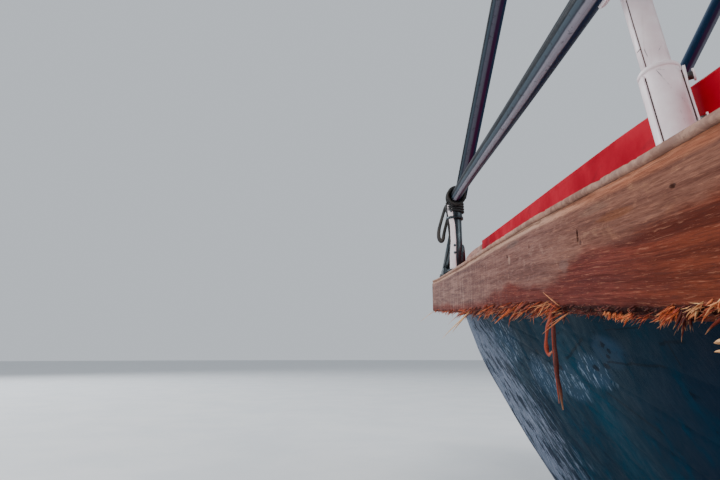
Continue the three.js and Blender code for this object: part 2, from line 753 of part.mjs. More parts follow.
function beltDrive() {
  const x = ENGINE.front + GAP;
  const band = bandOutline(BELT_WHEELS, 5);
  band.holes.push(bandOutline(BELT_WHEELS, -3));
  const belt = new THREE.ExtrudeGeometry(band, { depth: 14, bevelEnabled: false, curveSegments: 6 });
  belt.applyMatrix4(new THREE.Matrix4().makeBasis(v(0, 1, 0), v(0, 0, 1), v(1, 0, 0)));
  belt.translate(x + 22, 0, 0);
  const pulleys = BELT_WHEELS.map(([y, z, r]) => bar(v(x + 12, y, z), v(x + 46, y, z), r, 18));
  const [, alternator, pump] = BELT_WHEELS;
  return join(
    belt,
    ...pulleys,
    bar(v(x, 0, SHAFT_Z), v(x + 20, 0, SHAFT_Z), 30, 16),
    bar(v(x, 0, pump[1]), v(x + 20, 0, pump[1]), 18, 12),
    bar(v(x - 130, alternator[0], alternator[1]), v(x + 5, alternator[0], alternator[1]), 58, 20),
    bar(v(x, alternator[0], alternator[1]), v(x + 20, alternator[0], alternator[1]), 20, 12),
  );
}

function tailTube() {
  const axis = (x) => v(x, 0, SHAFT_Z);
  const whole = bar(axis(TUBE_END), axis(TUBE_FRONT), TUBE_RADIUS, 20);
  const bore = bar(axis(TUBE_END + 60), axis(TUBE_FRONT + 5), TUBE_RADIUS - TUBE_WALL, 20);
  const bush = bar(axis(TUBE_END - 5), axis(TUBE_END + 65), PROP.shaft + 0.6, 16);
  return cut(whole, bore, bush);
}

function tailStay() {
  const under = SHAFT_Z - TUBE_RADIUS - GAP;
  const path = new THREE.CatmullRomCurve3([
    v(CRADLE.back - GAP, 0, 50),
    v(-900, 0, 40),
    v(-1500, 0, 45),
    v(-2100, 0, 75),
    v(-2700, 0, under - STAY.radius),
  ]);
  return join(
    tubeAlong(path, STAY.radius, 12, 6),
    bar(v(-1400, 0, 43), v(-1400, 0, under), STAY.radius - 1, 8),
  );
}

function sidePlate(points, thick) {
  const shape = new THREE.Shape(points.map(([x, z]) => new THREE.Vector2(x, z)));
  const plate = new THREE.ExtrudeGeometry(shape, { depth: thick, bevelEnabled: false });
  return plate.applyMatrix4(new THREE.Matrix4().makeBasis(v(1, 0, 0), v(0, 0, 1), v(0, -1, 0))).translate(0, thick / 2, 0);
}

function skeg() {
  const top = SHAFT_Z - TUBE_RADIUS - GAP;
  return sidePlate(
    [
      [TUBE_END + 450, top],
      [TUBE_END + 20, top],
      [TUBE_END - 10, top - 190],
      [TUBE_END + 90, top - 205],
    ],
    10,
  );
}

function splashPlate() {
  const base = SHAFT_Z + TUBE_RADIUS + GAP;
  const over = SHAFT_Z + PROP.radius + 40;
  return join(
    sidePlate(
      [
        [TUBE_END + 160, base],
        [TUBE_END + 40, base],
        [TUBE_END - 20, over + 2],
        [TUBE_END + 130, over + 2],
      ],
      10,
    ),
    box([PROP.x - 190, -105, over], [TUBE_END + 150, 105, over + 8]),
  );
}

// Propeller blade. Columns: radius, chord, pitch angle in degrees, thickness
const BLADE = [
  [22, 60, 60, 11],
  [60, 86, 50, 10],
  [105, 108, 39, 8],
  [148, 94, 32, 6],
  [175, 46, 28, 4],
];

function propeller() {
  const rings = BLADE.map(([r, chord, pitch, thick]) => {
    const turn = THREE.MathUtils.degToRad(pitch);
    const [c, s] = [Math.cos(turn), Math.sin(turn)];
    const flat = [
      [chord / 2, 0],
      [chord / 4, thick / 2],
      [-chord / 4, thick / 2],
      [-chord / 2, 0],
      [-chord / 4, -thick / 2],
      [chord / 4, -thick / 2],
    ];
    return ring(r, flat.map(([a, b]) => [a * c - b * s, a * s + b * c]));
  });
  const blade = loft(rings).applyMatrix4(new THREE.Matrix4().makeRotationY(-Math.PI / 2));
  const blades = Array.from({ length: PROP.blades }, (_, i) =>
    blade.clone().applyMatrix4(new THREE.Matrix4().makeRotationX((i * 2 * Math.PI) / PROP.blades)),
  );
  const profile = [
    [0, 62],
    [PROP.hub - 6, 62],
    [PROP.hub, 40],
    [PROP.hub - 3, -40],
    [16, -66],
    [0, -72],
  ];
  const hub = new THREE.LatheGeometry(
    profile.map(([r, x]) => new THREE.Vector2(r, x)).reverse(),
    14,
  ).rotateZ(-Math.PI / 2);
  const shaft = bar(v(55, 0, 0), v(TUBE_FRONT - PROP.x - 5, 0, 0), PROP.shaft, 16);
  return join(hub, shaft, ...blades);
}

function tiller() {
  const path = new THREE.CatmullRomCurve3([
    v(CRADLE.front + 2, 0, 52),
    v(CRADLE.front + 150, 0, 40),
    v(1150, 0, -25),
    v(TILLER.reach, 0, TILLER.drop),
  ]);
  const [a, b] = [path.getPointAt(0.8), path.getPointAt(1)];
  return join(tubeAlong(path, TILLER.radius, 9, 8), bar(a, b, TILLER.radius + 5, 12));
}

function fuelTank() {
  const { x, y, long, wide, high, round } = TANK;
  const outline = new THREE.Shape();
  outline.moveTo(-long / 2 + round, -wide / 2);
  outline.absarc(long / 2 - round, -wide / 2 + round, round, -Math.PI / 2, 0);
  outline.absarc(long / 2 - round, wide / 2 - round, round, 0, Math.PI / 2);
  outline.absarc(-long / 2 + round, wide / 2 - round, round, Math.PI / 2, Math.PI);
  outline.absarc(-long / 2 + round, -wide / 2 + round, round, Math.PI, Math.PI * 1.5);
  const body = new THREE.ExtrudeGeometry(outline, { depth: high, bevelEnabled: false, curveSegments: 4 });
  const base = RISER.top + BOARD + GAP;
  body.translate(x, y, base);
  const neck = bar(v(x + 120, y, base + high - 5), v(x + 120, y, base + high + 30), 32, 16);
  const top = base + high;
  const { back, front, half, foot } = TANK_HANDLE;
  const handle = box([x + back, y - half, top - 5], [x + front, y + half, top + TANK_HANDLE.high]);
  const under = top + TANK_HANDLE.high - TANK_HANDLE.bar;
  const grip = box([x + back + foot, y - half - 5, top], [x + front - foot, y + half + 5, under]);
  return cut(join(body, neck, handle), grip);
}

add(boat, "keel_and_stem", "keel_paint", keelAndStem());
addPair("hull", "hull_paint", planking());
add(boat, "transom", "hull_paint", transom());
add(boat, "frames", "frame_wood", frames());
add(boat, "floorboards", "deck_wood", floorboards());
addPair("side_deck", "cap_wood", sideDeck());
addPair("sheer_plank", "plank_wood", sheerPlank());
addPair("coaming", "red_paint", coaming());
add(boat, "foredeck", "deck_wood", foredeck());
add(boat, "breasthook", "deck_wood", breasthook());
THWARTS.forEach((x, i) => add(boat, "thwart_" + (i + 1), "deck_wood", crossBoard(x + 150, x - 150)));
add(boat, "aft_deck", "deck_wood", crossBoard(AFT_DECK.front, AFT_DECK.back));
addPair("side_rail", "rail_steel", sideRail());
addPair("bow_post", "rail_steel", bowPost());
addPair("roof_rail", "rail_steel", roofRail());
addPair("canopy_strut", "rail_steel", canopyStrut());
POSTS.forEach(([x, lean], i) => addPair("canopy_post_" + (i + 1), "white_pipe", canopyPost(x, lean)));
add(boat, "canopy_bows", "rail_steel", canopyBows());
add(boat, "canopy_roof", "canopy_cloth", canopyRoof());
add(boat, "engine_bed", "frame_wood", engineBed());
add(boat, "fuel_tank", "tank_plastic", fuelTank());

const swivel = new THREE.Group();
swivel.position.copy(PIVOT);
boat.add(swivel);
add(swivel, "swivel_yoke", "rail_steel", swivelYoke());

const tail = new THREE.Group();
tail.rotation.y = -TAIL_DROP;
swivel.add(tail);
add(tail, "engine_cradle", "rail_steel", engineCradle());
add(tail, "engine_block", "engine_iron", engineBlock());
add(tail, "engine_head", "engine_alloy", engineHead());
add(tail, "starter_motor", "cleaner_black", starterMotor());
add(tail, "oil_filter", "filter_paint", oilFilter());
add(tail, "exhaust", "exhaust_steel", exhaust());
add(tail, "air_cleaner", "cleaner_black", airCleaner());
add(tail, "belt_drive", "cleaner_black", beltDrive());
add(tail, "tail_tube", "rail_steel", tailTube());
add(tail, "tail_stay", "rail_steel", tailStay());
add(tail, "skeg", "rail_steel", skeg());
add(tail, "splash_plate", "rail_steel", splashPlate());
add(tail, "tiller", "grip_rubber", tiller());
add(tail, "propeller", "prop_brass", propeller()).position.set(PROP.x, 0, SHAFT_Z);

export default boat;
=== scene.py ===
"""Looks of the longtail boat: weathered planks, worn paint, a cloth canopy and an oily engine.

Metres, in the boat's frame: +X to the bow, +Y to port, +Z up, z = 0 at the waterline.
"""

import itertools
import json
import math
import random

import bmesh
import bpy
import numpy as np
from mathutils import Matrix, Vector, noise
from mathutils.bvhtree import BVHTree


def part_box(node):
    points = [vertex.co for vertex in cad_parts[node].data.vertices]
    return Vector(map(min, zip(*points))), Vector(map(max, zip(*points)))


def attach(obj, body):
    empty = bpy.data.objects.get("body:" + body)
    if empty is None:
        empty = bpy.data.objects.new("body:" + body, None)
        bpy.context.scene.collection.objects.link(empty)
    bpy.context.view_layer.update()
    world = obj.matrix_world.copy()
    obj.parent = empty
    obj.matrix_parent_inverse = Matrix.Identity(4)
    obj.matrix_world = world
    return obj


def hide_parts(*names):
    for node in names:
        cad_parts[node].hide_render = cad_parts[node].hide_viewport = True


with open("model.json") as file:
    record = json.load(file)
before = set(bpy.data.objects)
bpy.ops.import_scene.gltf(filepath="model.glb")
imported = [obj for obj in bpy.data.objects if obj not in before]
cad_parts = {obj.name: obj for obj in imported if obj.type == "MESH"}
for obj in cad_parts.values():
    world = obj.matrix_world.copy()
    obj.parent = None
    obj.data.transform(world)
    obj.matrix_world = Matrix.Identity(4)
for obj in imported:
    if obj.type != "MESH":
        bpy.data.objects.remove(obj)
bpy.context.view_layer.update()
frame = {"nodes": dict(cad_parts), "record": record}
NODES = frame["nodes"]
SIDES = {"port": 1, "starboard": -1}

# The photo's camera: beside the port rail, low, looking forward and up
CAMERA_AT = Vector((1.978, 1.08, 0.55))
CAMERA_YAW = math.radians(7.6)  # to starboard of straight ahead
CAMERA_PITCH = math.radians(12.0)
LENS = 27.0
SENSOR = 36.0
TAIL_DROP = math.radians(23.0)  # the tail's slope at rest
TILT_AXLE = (-4.7, 1.02)  # x and z of the axle that engine and tail tilt on
UP = Vector((0, 0, 1))

# Sheer plank, metres
EDGE_RAGGED = 0.007  # how far the lower edge is torn
CHAMFER_ACROSS = 0.006
CHAMFER_DOWN = 0.015
PLANK_SEEDS = {1: 3.1, -1: 8.7}  # noise along the torn edge, for each side

HULL_ROWS = 10  # strakes from keel to deck
HULL_SEAM = 0.0022  # depth of the seam between strakes
HULL_THICK = 0.026
HULL_RAYS = 90  # ray tests from deck to keel at each station

JOIN_WITHIN = 0.00002  # corners of facets closer than this are one
SHARP_ANGLE = math.radians(38)
BOARD_GAP = 0.0016  # half the gap between single boards
DECK_BOARD = 0.152  # breadth of an aft deck board with its gap
THWARTS = (2.25, 0.95, -0.35, -1.65)  # middle of each, along X
RIBS = [3.6 - 0.8 * i for i in range(9)]  # along X
THWART_TOP, FLOOR_TOP = 0.28, -0.06
STRUT_WIDE, STRUT_DEEP = 0.0265, 0.0205
ROOF_RAIL_RADIUS = 0.021
CLOTH_THICK, CLOTH_OFF_EDGE = 0.0016, 0.004


def tone(red, green, blue):
    """A colour given as it looks on a screen, 0 to 255, as linear light."""
    linear = [((c / 255 + 0.055) / 1.055) ** 2.4 if c > 10 else c / 3294 for c in (red, green, blue)]
    return (*linear, 1.0)


def clamp(value, low=0.0, high=1.0):
    return max(low, min(high, value))


def smooth(value, low, high):
    share = clamp((value - low) / (high - low))
    return share * share * (3 - 2 * share)


def smoothed(places, steps):
    """Points on a smooth curve through the given places."""
    rows = [Vector(p) for p in places]
    rows = [rows[0] * 2 - rows[1], *rows, rows[-1] * 2 - rows[-2]]
    made = []
    for a, b, c, d in zip(rows, rows[1:], rows[2:], rows[3:]):
        for i in range(steps):
            t = i / steps
            curve = (2 * a - 5 * b + 4 * c - d) * t**2
            made.append(0.5 * (2 * b + (c - a) * t + curve + (3 * b - a - 3 * c + d) * t**3))
    return [*made, rows[-2]]


def circle(count):
    """Cosine and sine of evenly spaced turns, once round."""
    return [(math.cos(2 * math.pi * k / count), math.sin(2 * math.pi * k / count)) for k in range(count)]


def heading(path, i):
    """From the point before to the point after one of a path's points."""
    return path[min(i + 1, len(path) - 1)] - path[max(i - 1, 0)]


def ripple(x, y, z):
    """Smooth noise from about -1 to 1."""
    return noise.noise(Vector((x, y, z)))


def any_way(rng, reach=1.0):
    return Vector([rng.uniform(-reach, reach) for _ in range(3)])


def placed(name, data):
    """A new object in the scene."""
    made = bpy.data.objects.new(name, data)
    bpy.context.scene.collection.objects.link(made)
    return made


def ray_tree(name):
    """A CAD piece, ready for ray tests."""
    mesh = NODES[name].data
    return BVHTree.FromPolygons([v.co for v in mesh.vertices], [list(p.vertices) for p in mesh.polygons])


def mesh_piece(name, points, faces, material, body="hull", uvs=None, smooth_shade=True, wear=None):
    """A new mesh piece that rides on a body. uvs has one pair for each point, wear one number."""
    mesh = bpy.data.meshes.new(name)
    mesh.from_pydata([tuple(p) for p in points], [], faces)
    if uvs is not None:
        layer = mesh.uv_layers.new(name="grain")
        for loop in mesh.loops:
            layer.data[loop.index].uv = uvs[loop.vertex_index]
    if wear is not None:
        mesh.attributes.new("wear", "FLOAT", "POINT").data.foreach_set("value", wear)
    mesh.polygons.foreach_set("use_smooth", [smooth_shade] * len(mesh.polygons))
    mesh.materials.append(material)
    piece = placed(name, mesh)
    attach(piece, body)
    return piece


class Parts:
    """Points, faces and uvs of many small forms, gathered into one piece."""

    def __init__(self):
        self.points, self.faces, self.uvs = [], [], []

    def add(self, points, faces, uvs=None):
        first = len(self.points)
        self.points += [Vector(p) for p in points]
        self.faces += [[i + first for i in face] for face in faces]
        self.uvs += list(uvs) if uvs is not None else [(0.0, 0.0)] * len(points)

    def rings(self, rings, closed=True, uvs=None):
        """A skin over rings of points, with its ends closed."""
        count = len(rings[0])
        faces = []
        for r in range(len(rings) - 1):
            for i in range(count if closed else count - 1):
                a, b = r * count + i, r * count + (i + 1) % count
                faces.append([a, b, b + count, a + count])
        if closed:
            last = (len(rings) - 1) * count
            faces += [list(range(count))[::-1], list(range(last, last + count))]
        self.add([p for ring in rings for p in ring], faces, uvs)

    def tube(self, path, radius, sides=16, flat=1.0):
        """A round bar along a path, radius a number or one for each point. flat squeezes it to a strip."""
        path = [Vector(p) for p in path]
        radii = radius if hasattr(radius, "__len__") else [radius] * len(path)
        rings = []
        way = (path[1] - path[0]).normalized()
        across = way.orthogonal().normalized()
        for i, point in enumerate(path):
            ahead = heading(path, i)
            if ahead.length > 1e-9:
                way = ahead.normalized()
            across = (across - way * across.dot(way)).normalized()
            up = way.cross(across)
            rings.append([point + (across * c + up * s * flat) * radii[i] for c, s in circle(sides)])
        self.rings(rings)

    def turned(self, centre, axis, profile, sides=16):
        """A turned form: profile is pairs of distance along the axis and radius."""
        centre, axis = Vector(centre), Vector(axis).normalized()
        across = axis.orthogonal().normalized()
        up = axis.cross(across)
        rings = []
        for along, radius in profile:
            rings.append([centre + axis * along + (across * c + up * s) * radius for c, s in circle(sides)])
        self.rings(rings)

    def block(self, low, high):
        corners = list(itertools.product(*zip(low, high)))
        faces = [[0, 1, 3, 2], [4, 6, 7, 5], [0, 4, 5, 1], [2, 3, 7, 6], [0, 2, 6, 4], [1, 5, 7, 3]]
        self.add(corners, faces)

    def piece(self, name, material, body="hull", uv=False, smooth_shade=True, wear=None):
        uvs = self.uvs if uv else None
        return mesh_piece(name, self.points, self.faces, material, body, uvs, smooth_shade, wear)


def bevelled(piece, width, segments=2, angle=35):
    made = piece.modifiers.new("edges", "BEVEL")
    made.width, made.segments = width, segments
    made.limit_method, made.angle_limit = "ANGLE", math.radians(angle)
    made.harden_normals = False
    return piece


# Lines of the boat, read from the CAD pieces
class Lines:
    """A port board's edges along the boat."""

    def __init__(self, node):
        points = np.array([v.co for v in NODES[node].data.vertices])
        places = np.round(points[:, 0], 4)
        self.x = np.unique(places)
        groups = [points[places == x] for x in self.x]
        self.inner = np.array([g[:, 1].min() for g in groups])
        self.outer = np.array([g[:, 1].max() for g in groups])
        self.low = np.array([g[:, 2].min() for g in groups])
        self.high = np.array([g[:, 2].max() for g in groups])

    def at(self, x, edge):
        return float(np.interp(x, self.x, getattr(self, edge)))


PLANK = Lines("sheer_plank_port")
DECK = Lines("side_deck_port")
COAMING = Lines("coaming_port")
CAP_DEEP = DECK.at(3.0, "high") - PLANK.at(3.0, "high")
CAP_JOINTS = (3.46, 1.30, -0.85, -2.95)  # butt joints of the cap boards, along X
CLOTH_SEAMS = (1.54, 0.06, -1.42)  # sewn seams across the canopy cloth, along X


class Finish:
    """A procedural material, built up in small steps."""

    def __init__(self, name, rough, metal=0.0, shine=0.5):
        self.material = bpy.data.materials.new(name)
        self.material.use_nodes = True
        self.tree = self.material.node_tree
        self.shader = self.tree.nodes["Principled BSDF"]
        for socket, value in (("Roughness", rough), ("Metallic", metal), ("Specular IOR Level", shine)):
            self.shader.inputs[socket].default_value = value
        places = self.tree.nodes.new("ShaderNodeTexCoord")
        self.here, self.grain = places.outputs["Object"], places.outputs["UV"]

    def put(self, socket, value):
        if isinstance(value, bpy.types.NodeSocket):
            self.tree.links.new(value, socket)
        else:
            socket.default_value = value

    def node(self, kind, values, **settings):
        made = self.tree.nodes.new("ShaderNode" + kind)
        for key, value in settings.items():
            setattr(made, key, value)
        for key, value in values.items():
            self.put(made.inputs[key], value)
        return made

    def scaled(self, place, scale, shift=(0, 0, 0)):
        return self.node("Mapping", {"Vector": place, "Scale": scale, "Location": shift}).outputs[0]

    def noise(self, place, scale, detail=3.0, rough=0.55, warp=0.0):
        values = {"Vector": place, "Scale": scale, "Detail": detail, "Roughness": rough, "Distortion": warp}
        return self.node("TexNoise", values).outputs[0]

    def stretched(self, place, scale, detail=3.0, rough=0.55, warp=0.0, shift=(0, 0, 0)):
        """Noise with its own scale along each axis."""
        return self.noise(self.scaled(place, scale, shift), 1.0, detail, rough, warp)

    def cracks(self, place, scale):
        """Distance to the edge between cells."""
        made = self.node("TexVoronoi", {"Vector": place, "Scale": scale}, feature="DISTANCE_TO_EDGE")
        return made.outputs["Distance"]

    def threads(self, direction):
        values = {"Vector": self.here, "Scale": 190, "Distortion": 0.4, "Detail": 1.0}
        return self.node("TexWave", values, bands_direction=direction).outputs["Fac"]

    def band(self, value, low, high, start=0.0, end=1.0):
        values = {"Value": value, "From Min": low, "From Max": high, "To Min": start, "To Max": end}
        return self.node("MapRange", values, interpolation_type="SMOOTHSTEP").outputs[0]

    def straight(self, value, low, high):
        return self.node("MapRange", {"Value": value, "From Min": low, "From Max": high}).outputs[0]

    def wear(self):
        """The wear stored at each point of the mesh."""
        return self.node("Attribute", {}, attribute_name="wear").outputs["Fac"]

    def upward(self):
        """How far the surface faces up, from -1 to 1."""
        return self.split(self.node("NewGeometry", {}).outputs["Normal"])[2]

    def spot(self, across, down, at, wide, high, ragged):
        """A soft oval mark, 1 at its middle, its edge broken by noise. at is its place across and down."""
        a = self.math("DIVIDE", self.minus(across, at[0]), wide)
        b = self.math("DIVIDE", self.minus(down, at[1]), high)
        far = self.plus(self.times(a, a), b, b)
        return self.band(self.plus(far, self.minus(ragged, 0.5), 3.0), 1.25, 0.45)

    def stroke(self, across, down, start, end, width):
        """A thin straight mark between two places."""
        long = math.dist(start, end)
        way = ((end[0] - start[0]) / long, (end[1] - start[1]) / long)
        a = self.minus(across, (start[0] + end[0]) / 2)
        b = self.minus(down, (start[1] + end[1]) / 2)
        lengthwise = self.plus(self.times(a, way[0]), b, way[1])
        sideways = self.minus(self.times(b, way[0]), a, way[1])
        reach = self.band(self.apart(lengthwise, 0.0), long / 2, long / 2 * 0.8)
        return self.times(reach, self.band(self.apart(sideways, 0.0), width, width * 0.4))

    def math(self, what, a, b=0.0):
        return self.node("Math", {0: a, 1: b}, operation=what).outputs[0]

    def times(self, a, *others):
        for b in others:
            a = self.math("MULTIPLY", a, b)
        return a

    def plus(self, a, b, *shares):
        return self.math("ADD", a, self.times(b, *shares))

    def minus(self, a, b, *shares):
        return self.math("SUBTRACT", a, self.times(b, *shares))

    def apart(self, a, b):
        return self.math("ABSOLUTE", self.minus(a, b))

    def cover(self, under, colour, *masks):
        """A colour laid over another where the product of the masks is high."""
        return self.mix(self.times(*masks), under, colour)

    def mix(self, share, a, b, how="MIX"):
        made = self.tree.nodes.new("ShaderNodeMix")
        made.data_type, made.blend_type = "RGBA", how
        for key, value in ((0, share), (6, a), (7, b)):
            self.put(made.inputs[key], value)
        return made.outputs[2]

    def ramp(self, value, stops):
        made = self.node("ValToRGB", {0: value})
        elements = made.color_ramp.elements
        while len(elements) < len(stops):
            elements.new(0.5)
        for element, (place, colour) in zip(elements, stops):
            element.position, element.color = place, colour
        return made.outputs[0]

    def split(self, place):
        return self.node("SeparateXYZ", {0: place}).outputs

    def bump(self, height, depth):
        return self.node("Bump", {"Height": height, "Distance": depth, "Strength": 1.0}).outputs[0]

    def done(self, colour=None, rough=None, normal=None, **sockets):
        for key, value in {"Base Color": colour, "Roughness": rough, "Normal": normal, **sockets}.items():
            if value is not None:
                self.put(self.shader.inputs[key.replace("_", " ")], value)
        return self.material


# Stains on the plank's face. Columns: x and depth, half length, half height, colour, strength
PLANK_STAINS = [
    ((2.580, 0.0575), 0.0032, 0.0078, tone(28, 14, 18), 0.95),
    ((2.572, 0.0660), 0.0040, 0.0030, tone(60, 34, 36), 0.7),
    ((2.978, 0.0480), 0.0050, 0.0040, tone(34, 18, 22), 0.9),
    ((2.962, 0.0560), 0.0100, 0.0090, tone(184, 150, 132), 0.4),
    ((2.810, 0.0480), 0.0045, 0.0030, tone(60, 34, 36), 0.7),
    ((2.358, 0.0420), 0.0050, 0.0018, tone(54, 30, 26), 0.8),
    ((4.420, 0.0400), 0.0700, 0.0110, tone(96, 62, 62), 0.6),
    ((3.560, 0.0720), 0.0300, 0.0120, tone(110, 78, 74), 0.5),
    ((2.930, 0.0300), 0.0500, 0.0080, tone(104, 88, 82), 0.55),
    ((2.520, 0.0330), 0.0500, 0.0060, tone(122, 92, 78), 0.5),
    ((2.470, 0.0480), 0.0450, 0.0050, tone(116, 66, 40), 0.6),
    ((2.640, 0.0900), 0.0200, 0.0080, tone(122, 98, 92), 0.4),
]
# Height of the stained part's upper edge below the cap's top. Columns: x, depth
STAIN_EDGE = [
    (2.20, 0.030),
    (2.32, 0.054),
    (2.46, 0.073),
    (2.57, 0.074),
    (2.64, 0.103),
    (2.75, 0.114),
    (2.96, 0.096),
    (3.08, 0.118),
    (3.30, 0.134),
]


def plank_ground(f):
    """Tan wood with pale blotches, going grey towards the bow."""
    light = f.mix(f.near, tone(134, 96, 86), tone(134, 90, 74))
    dim = f.mix(f.near, tone(104, 70, 64), tone(110, 70, 58))
    pale = f.mix(f.near, tone(156, 120, 108), tone(158, 112, 86))
    wood = f.mix(f.band(f.streak, 0.36, 0.62), dim, light)
    wood = f.cover(wood, pale, f.band(f.blotch, 0.52, 0.68), 0.55)
    wood = f.cover(wood, dim, f.band(f.fibre, 0.52, 0.68), 0.6)
    grey = f.mix(f.band(f.streak, 0.35, 0.65), tone(96, 72, 70), tone(148, 114, 104))
    return f.cover(wood, grey, f.band(f.plus(f.along, f.broad, 0.7), 3.3, 4.2), 0.8)


def plank_stain(f, wood):
    """The stained lower part, whose edge wanders and climbs aft."""
    first, last = STAIN_EDGE[0][0], STAIN_EDGE[-1][0]
    stops = [((x - first) / (last - first), (deep, deep, deep, 1)) for x, deep in STAIN_EDGE]
    border = f.ramp(f.straight(f.along, first, last), stops)
    uneven = f.minus(f.plus(f.broad, f.blotch, 0.5), 0.75)
    below = f.plus(f.minus(f.depth, border), uneven, 0.052)
    hot = f.band(f.minus(f.along, f.blotch, 0.1), 2.50, 2.28)
    dark_red = f.mix(hot, tone(84, 32, 30), tone(84, 32, 20))
    bright_red = f.mix(hot, tone(116, 52, 44), tone(122, 54, 34))
    red = f.mix(f.band(f.streak, 0.36, 0.66), dark_red, bright_red)
    red = f.cover(red, tone(62, 22, 20), f.band(f.fibre, 0.5, 0.66), 0.45)
    return f.cover(wood, red, f.band(below, -0.010, 0.014), 0.93)


def plank_chamfer(f, wood):
    """Fresher wood on the chamfer under the cap."""
    dark = f.mix(f.near, tone(136, 98, 80), tone(150, 90, 66))
    pale = f.mix(f.near, tone(190, 152, 130), tone(190, 124, 94))
    fresh = f.mix(f.band(f.streak, 0.4, 0.6), dark, pale)
    return f.cover(wood, fresh, f.band(f.plus(f.depth, f.broad, 0.004), 0.028, 0.022), 0.85)


def plank_wear(f, wood, knot, grit, hair):
    """Knots, stains, the dark torn edge and fine dark and pale fibres."""
    wood = f.cover(wood, tone(70, 44, 40), f.band(knot, 0.68, 0.76), 0.7)
    for at, wide, high, colour, strength in PLANK_STAINS:
        wood = f.cover(wood, colour, f.spot(f.along, f.depth, at, wide, high, f.streak), strength)
    torn_height = f.minus(f.wear(), f.band(f.along, 2.72, 2.64, 0.0, 0.006))
    torn_edge = f.band(f.plus(torn_height, f.blotch, 0.010), 0.013, 0.009)
    wood = f.cover(wood, tone(34, 13, 14), torn_edge, 0.94)
    wood = f.cover(wood, tone(66, 38, 30), f.band(grit, 0.58, 0.72), 0.45)
    wood = f.cover(wood, tone(70, 36, 30), f.band(hair, 0.50, 0.60), 0.42)
    return f.cover(wood, tone(196, 136, 108), f.band(hair, 0.44, 0.36), 0.30)


def plank_finish(name):
    """Rough sawn plank: grey mauve with saw marks at the bow, tan above and stained red brown below.

    The grain map gives x and the depth below the cap's top, in metres; wear is the height above
    the torn edge."""
    f = Finish(name, 0.8, shine=0.06)
    f.along, f.depth = f.split(f.grain)[:2]
    f.near = f.band(f.along, 2.85, 2.40)

    def grain(stretch, detail, rough, warp, shift=(0, 0, 0)):
        return f.stretched(f.grain, (*stretch, 1), detail, rough, warp, shift)

    f.fibre, f.streak = grain((9, 320), 5, 0.7, 0.5), grain((3, 75), 5, 0.65, 0.9)
    f.broad, f.blotch = grain((4, 11), 4, 0.6, 0.6), grain((26, 60), 5, 0.7, 0.7)
    grit, knot = grain((160, 900), 3, 0.7, 0.0), grain((12, 40), 3, 0.6, 0.0, (7.3, 2.1, 0))
    tooth, hair = grain((130, 5), 3, 0.6, 0.3), grain((30, 520), 5, 0.75, 0.8, (1.7, 3.3, 0))
    wood = plank_chamfer(f, plank_stain(f, plank_ground(f)))
    # Saw marks stand across the grain at the bow end
    sawn = f.times(f.band(tooth, 0.50, 0.66), f.band(f.along, 2.7, 3.4))
    wood = f.cover(wood, tone(92, 68, 66), sawn, 0.5)
    wood = f.cover(wood, tone(188, 156, 142), f.band(tooth, 0.46, 0.34), f.band(f.along, 2.9, 3.6), 0.35)
    wood = plank_wear(f, wood, knot, grit, hair)
    height = f.plus(f.times(f.fibre, 0.9), grit, 0.35)
    height = f.minus(f.plus(height, hair, 0.6), sawn, 0.3)
    return f.done(wood, f.band(f.fibre, 0.3, 0.7, 0.68, 0.95), f.bump(height, 0.0018))


def board_finish(name, light, dark, wear_and_sheen_tone, wet=0.0, stretch=(5, 70, 70), seed=0.0):
    """Bare or oiled boards with the grain along the boat."""
    f = Finish(name, 0.75)
    place = f.scaled(f.here, stretch, (seed, seed, 0))
    streak = f.noise(place, 0.7, 5, 0.65, 0.8)
    fibre = f.stretched(f.here, [s * 4 for s in stretch], 4, 0.7, shift=(seed, 0, 0))
    cloud = f.noise(f.here, 3.2, 4, 0.6)
    wood = f.mix(f.band(streak, 0.35, 0.68), dark, light)
    wood = f.cover(wood, dark, f.band(fibre, 0.5, 0.75), 0.55)
    wood = f.cover(wood, wear_and_sheen_tone, f.band(cloud, 0.5, 0.75), 0.6)
    wood = f.cover(wood, dark, f.wear(), 0.42)
    grime = f.noise(f.here, 1.3, 5, 0.7, 0.6)
    wood = f.cover(wood, f.mix(0.7, dark, tone(30, 24, 20)), f.band(grime, 0.52, 0.68), 0.5)
    height = f.plus(streak, fibre, 0.6)
    return f.done(wood, f.band(cloud, 0.35, 0.7, 0.85 - wet, 0.62 - wet), f.bump(height, 0.0014))


# Dark marks on the hull's paint. Columns: x and z, half length, half height
HULL_MARKS = [
    ((2.868, 0.568), 0.011, 0.006),
    ((2.848, 0.556), 0.010, 0.005),
    ((2.866, 0.547), 0.011, 0.004),
    ((2.905, 0.530), 0.022, 0.006),
    ((2.990, 0.525), 0.022, 0.007),
    ((3.330, 0.520), 0.030, 0.010),
    ((3.520, 0.560), 0.026, 0.008),
]
# Scratches in the hull's paint. Columns: x, z at one end, x, z at the other, half width
HULL_SCRATCHES = [
    ((2.840, 0.6150), (2.690, 0.6115), 0.0026),
    ((2.680, 0.5985), (2.520, 0.5975), 0.0024),
    ((2.820, 0.5900), (2.660, 0.5870), 0.0016),
    ((3.230, 0.5380), (2.960, 0.5820), 0.0042),
    ((2.640, 0.5640), (2.560, 0.5650), 0.0030),
    ((2.610, 0.5640), (2.604, 0.5350), 0.0034),
    ((2.905, 0.5372), (2.640, 0.5335), 0.0028),
    ((3.020, 0.4800), (2.780, 0.4250), 0.0044),
    ((3.300, 0.5900), (3.120, 0.6000), 0.0030),
    ((3.450, 0.5300), (3.300, 0.5450), 0.0030),
]


# Rubbed patches on the hull. Columns: x and z, half length, half height, share of pale dashes
HULL_RUBS = [
    ((2.86, 0.556), 0.090, 0.030, 0.0),
    ((3.03, 0.518), 0.130, 0.038, 1.0),
    ((3.30, 0.480), 0.150, 0.050, 0.7),
    ((3.62, 0.480), 0.200, 0.070, 0.6),
    ((4.00, 0.610), 0.260, 0.090, 0.8),
]


